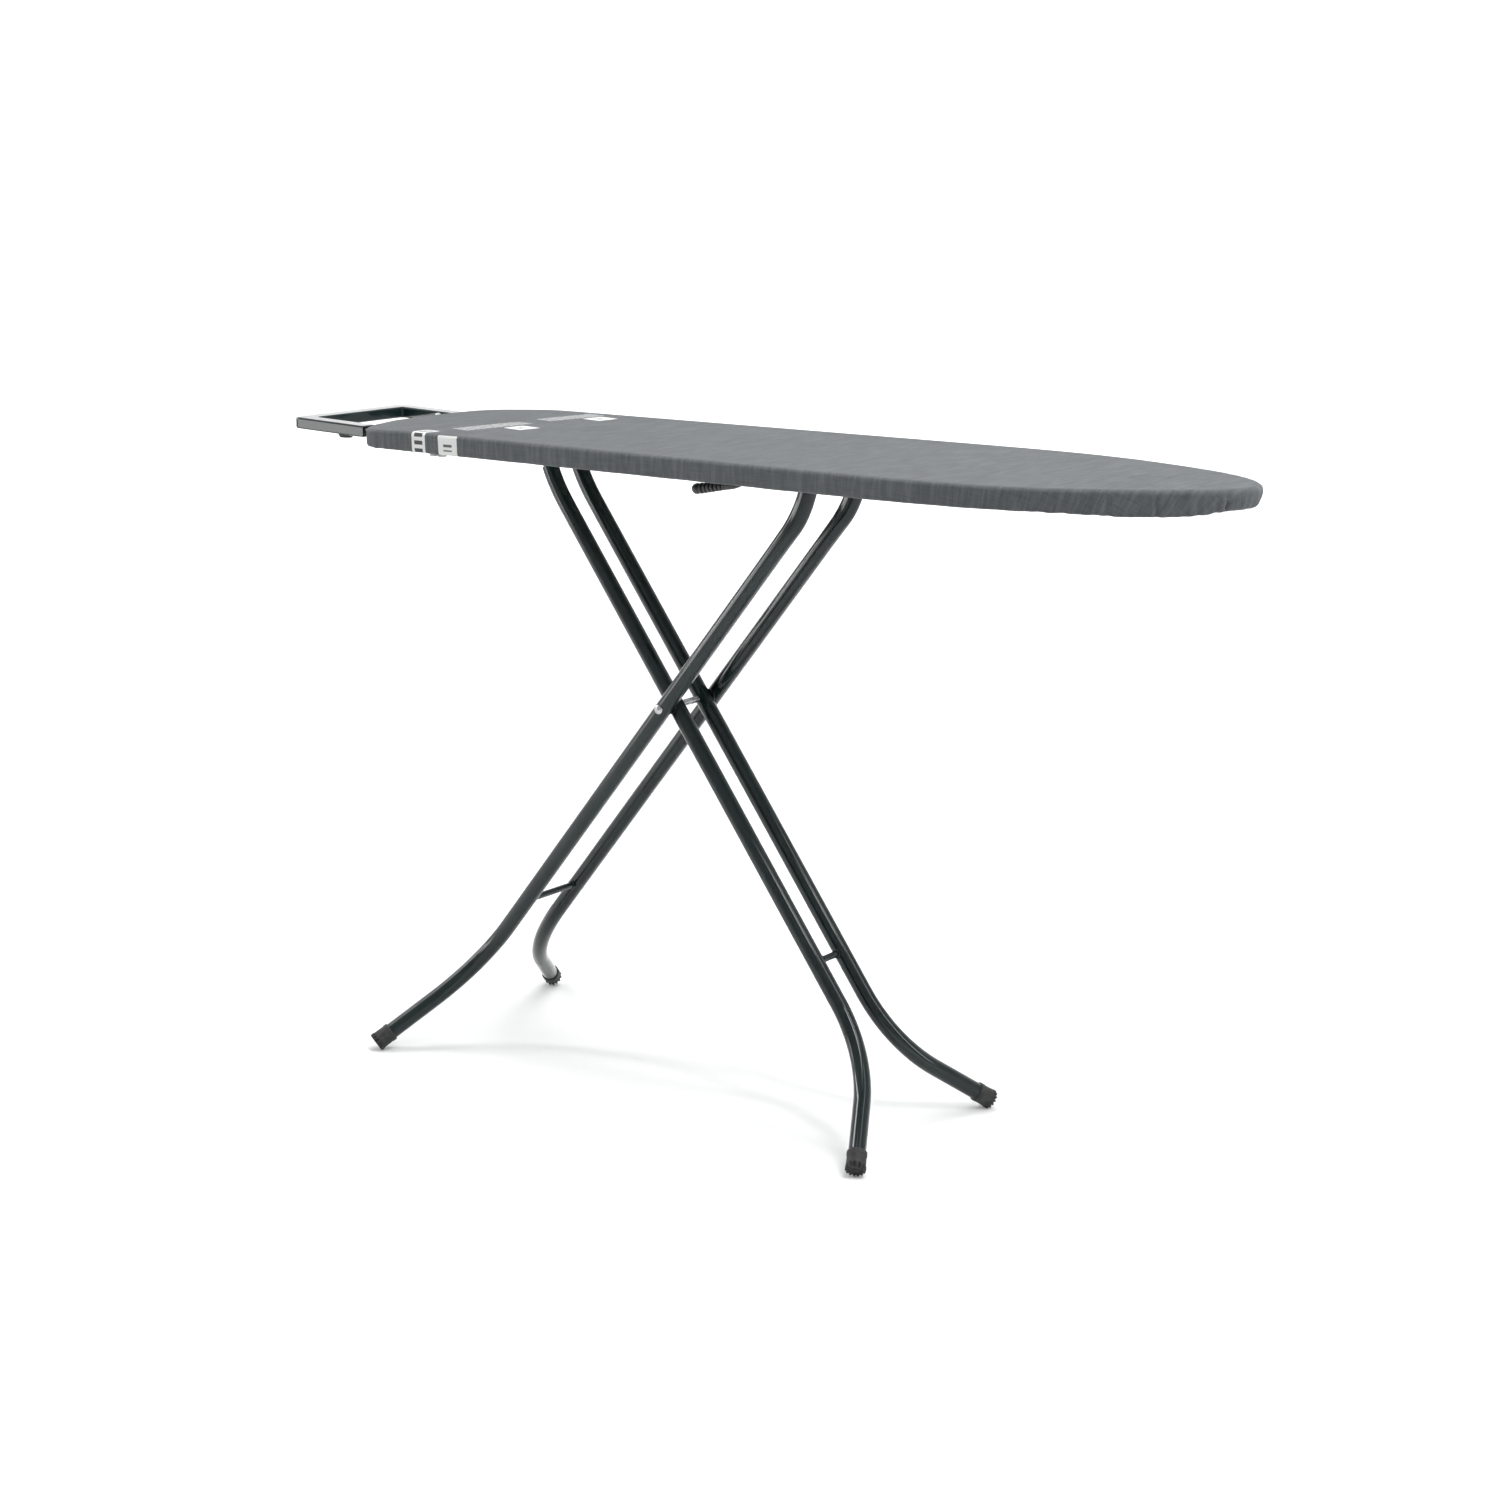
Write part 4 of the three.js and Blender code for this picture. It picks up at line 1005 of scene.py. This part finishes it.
def lever_line():
    """The wire: along the grip, up behind the cover's side, then across the board."""
    bend = WIRE_BEND_R

    def grip_z(x):
        return GRIP_TIP.z + GRIP_SLOPE * (x - GRIP_TIP.x)

    y = GRIP_TIP.y
    end_x = GRIP_TIP.x + GRIP_LENGTH
    climb_x = end_x + 4
    rough = [(GRIP_TIP.x + 6, grip_z(GRIP_TIP.x + 6)), (climb_x - 3, grip_z(climb_x - 3)),
             (climb_x + 1, grip_z(climb_x) + 1), (LEVER_AXIS.x - bend - 3, LEVER_AXIS.z - 1)]
    line = [Vector((x, y, z)) for x, z in rough]
    smooth = [line[0], line[0].lerp(line[1], 0.5)]
    for a, b in zip(line[1:], line[2:]):
        smooth.extend(a.lerp(b, t) for t in (0.0, 0.3, 0.6))
    smooth.append(line[-1])
    for t in steps(10):
        a = t * math.pi / 2
        turn_x, turn_y = LEVER_AXIS.x - bend + bend * math.sin(a), y + bend - bend * math.cos(a)
        smooth.append(Vector((turn_x, turn_y, LEVER_AXIS.z)))
    far = box("lever_wire")[1].y
    reach = far - y - bend
    smooth.extend(Vector((LEVER_AXIS.x, y + bend + reach * t, LEVER_AXIS.z)) for t in steps(6)[1:])
    return smooth


def grip_profile():
    """A bulb at the tip, then ribs that grow smaller toward the wire, then a plain neck."""
    profile = [(0, 0), (2.6, 0.3), (4.6, 1.6), (5.9, 3.8), (6.2, 6.4), (5.9, 8.6), (4.9, 9.6)]
    ribs = 7
    for k in range(ribs):
        start = 9.9 + 5.3 * k
        top = 6.1 - 0.3 * k
        deep = top - 2.3
        profile += [(deep, start), (deep, start + 0.9), (top - 0.3, start + 1.4), (top, start + 2.2),
                    (top, start + 3.6), (top - 0.3, start + 4.5)]
    profile += [(3.9, 47.8), (4.1, 49.5), (3.8, 56), (3.45, GRIP_LENGTH - 0.4), (WIRE_R + 0.2, GRIP_LENGTH)]
    profile += [(WIRE_R + 0.1, GRIP_LENGTH - 4), (0, GRIP_LENGTH - 4)]
    return profile


def make_lever():
    """The wire, its ribbed grip and its return spring, with the CAD's pawl and bracket."""
    wire = sweep(Shell(), lever_line(), circle(WIRE_R, 18), up=ALONG_Y)
    show("lever_bent_wire", wire, PAINT, "release_lever", ["lever_wire"])
    place = axis_place(GRIP_TIP, Vector((1, 0, GRIP_SLOPE)).normalized())
    grip = lathe(Shell(), grip_profile(), place, sides=36)
    show("lever_ribbed_grip", grip, PLASTIC, "release_lever", ["lever_grip"], sharp=50)
    dress("lever_pawl", ZINC)
    dress("lever_bracket", PAINT)

    low, high = box("lever_spring")
    radius = (high.z - low.z) / 2 - SPRING_WIRE_R
    turns, per_turn = 5, 20
    coil = []
    for t in steps(turns * per_turn):
        a = 2 * math.pi * turns * t
        y = low.y + SPRING_WIRE_R + (high.y - low.y - 2 * SPRING_WIRE_R) * t
        coil.append(Vector((LEVER_AXIS.x + radius * math.cos(a), y, LEVER_AXIS.z + radius * math.sin(a))))
    spring = sweep(Shell(), coil, circle(SPRING_WIRE_R, 10), up=ALONG_Y)
    show("lever_coil", spring, ZINC, "board", ["lever_spring"])


def make_roller():
    """The grooved roller on the slide rod."""
    low, high = box("slide_roller")
    middle, half, r = (low + high) / 2, (high.y - low.y) / 2, (high.z - low.z) / 2
    bore = 4.35
    groove = r - 1.2
    profile = [(bore, -half), (r - 0.8, -half), (r, -half + 0.8), (r, -2.2), (groove, -1.4), (groove, 1.4),
               (r, 2.2), (r, half - 0.8), (r - 0.8, half), (bore, half), (bore, -half)]
    roller = lathe(Shell(), profile, axis_place(middle, ALONG_Y), sides=36)
    show("slide_grooved_roller", roller, PLASTIC, "outer_leg", ["slide_roller"])


# ---------------------------------------------------------------- what keeps its CAD shape


def dress_the_rest():
    """Every CAD node that no piece stands for, and that isn't dressed with its neighbours."""
    painted = ["stringer_left", "stringer_right", "hinge_brace", "rail_brace_rear", "rail_brace_front",
               "hinge_bracket_left", "hinge_bracket_right", "rest_channel", "rest_arm_left", "rest_arm_right"]
    plated = ["height_rail", "hinge_clip_left", "hinge_clip_right", "rest_bolt_left", "rest_bolt_right"]
    plated += [f"rest_arm_bolt_{side}_{i}" for side, _ in SIDES for i in (1, 2)]
    for node in painted:
        dress(node, PAINT)
    for node in plated:
        dress(node, ZINC, 0.25)
    dress("rest_frame", PAINT, 0)
    for side, _ in SIDES:
        dress(f"rest_bumper_{side}", RUBBER, 0.6)
        dress(f"rest_plug_{side}", PLASTIC, 0.3)


# ---------------------------------------------------------------- stage


def make_floor():
    """A pale floor that curves up into a wall all round, far from the object."""
    flat, curve, height = 9000, 3000, 9000
    profile = [(0, 0)] + [(flat * t, 0) for t in steps(6)[1:]]
    for t in steps(14)[1:]:
        a = t * math.pi / 2
        profile.append((flat + curve * math.sin(a), curve * (1 - math.cos(a))))
    profile.append((flat + curve, height))
    shell = lathe(Shell(), profile, Matrix.Identity(4), sides=96)
    floor = shell.to_object("studio_floor")
    f = Finish("studio floor", Roughness=0.75, Specular_IOR_Level=0.2)
    mottled = f.noise(f.place(), 0.8, 4.0)
    f.use(Base_Color=f.mix(mottled, (0.8, 0.805, 0.81, 1), (0.84, 0.84, 0.84, 1)))
    floor.data.materials.append(f.material)


def softbox(name, place, aim, size, power):
    """An area light in metres and watts, unseen by the camera."""
    data = bpy.data.lights.new(name, "AREA")
    data.shape = "RECTANGLE"
    data.size, data.size_y = size
    data.energy = power
    light = bpy.data.objects.new(name, data)
    light.location = place
    light.rotation_euler = (Vector(aim) - Vector(place)).to_track_quat("-Z", "Y").to_euler()
    light.visible_camera = False
    bpy.context.scene.collection.objects.link(light)


def make_lights():
    world = bpy.data.worlds.new("studio")
    world.use_nodes = True
    world.node_tree.nodes["Background"].inputs["Color"].default_value = (1, 1, 1, 1)
    world.node_tree.nodes["Background"].inputs["Strength"].default_value = 0.56
    bpy.context.scene.world = world
    softbox("overhead", (0.3, 0.6, 3.4), (0, 0, 0.6), (3.2, 2.2), 100)
    softbox("left_strip", (-2.6, -0.9, 1.9), (0, 0, 0.45), (0.34, 2.6), 38)
    softbox("right_strip", (2.7, 0.7, 1.7), (0, 0, 0.45), (0.24, 2.4), 26)
    softbox("upper_strip", (1.42, -0.3, 2.8), (0, -0.15, 0.45), (0.3, 2.2), 50)
    softbox("low_front", (-2.4, -1.8, 0.5), (-0.6, -0.1, 0.77), (1.2, 0.6), 12)
    # Five lights stand round the object and light the wall. The first, behind it, is the strongest.
    for i, power in enumerate((560, 90, 40, 40, 90)):
        a = math.radians(128 + 72 * i)
        x, y = math.cos(a), math.sin(a)
        softbox(f"backdrop_{i + 1}", (4.2 * x, 4.2 * y, 4.5), (10.5 * x, 10.5 * y, 1.0), (5, 2), power)


def make_camera():
    """The camera stands to the right of the nose, a little above the board."""
    azimuth, elevation, roll = math.radians(37.72), math.radians(13.126), math.radians(-0.2)
    flat = math.cos(elevation)
    back = Vector((math.sin(azimuth) * flat, -math.cos(azimuth) * flat, math.sin(elevation)))
    right = Vector((math.cos(azimuth), math.sin(azimuth), 0))
    up = back.cross(right)
    across = right * math.cos(roll) + up * math.sin(roll)
    above = up * math.cos(roll) - right * math.sin(roll)
    data = bpy.data.cameras.new("camera")
    data.sensor_width = 36
    data.lens = 63.2
    data.shift_x = -0.0139
    data.shift_y = -0.00925
    camera = bpy.data.objects.new("camera", data)
    turn = Matrix((across, above, back)).transposed().to_4x4()
    camera.matrix_world = Matrix.Translation((1.8382, -2.3307, 1.1295)) @ turn
    bpy.context.scene.collection.objects.link(camera)
    bpy.context.scene.camera = camera


make_camera()
make_lights()
make_floor()
bpy.context.scene.view_settings.view_transform = "Standard"

make_pad()
make_cover()
make_panel()
make_edge_tubes()
make_legs()
make_pivot()
make_rod("hinge_plated_rod", "hinge_rod", "board")
make_rod("slide_plated_rod", "slide_rod", "outer_leg")
make_roller()
make_lever()
dress_the_rest()
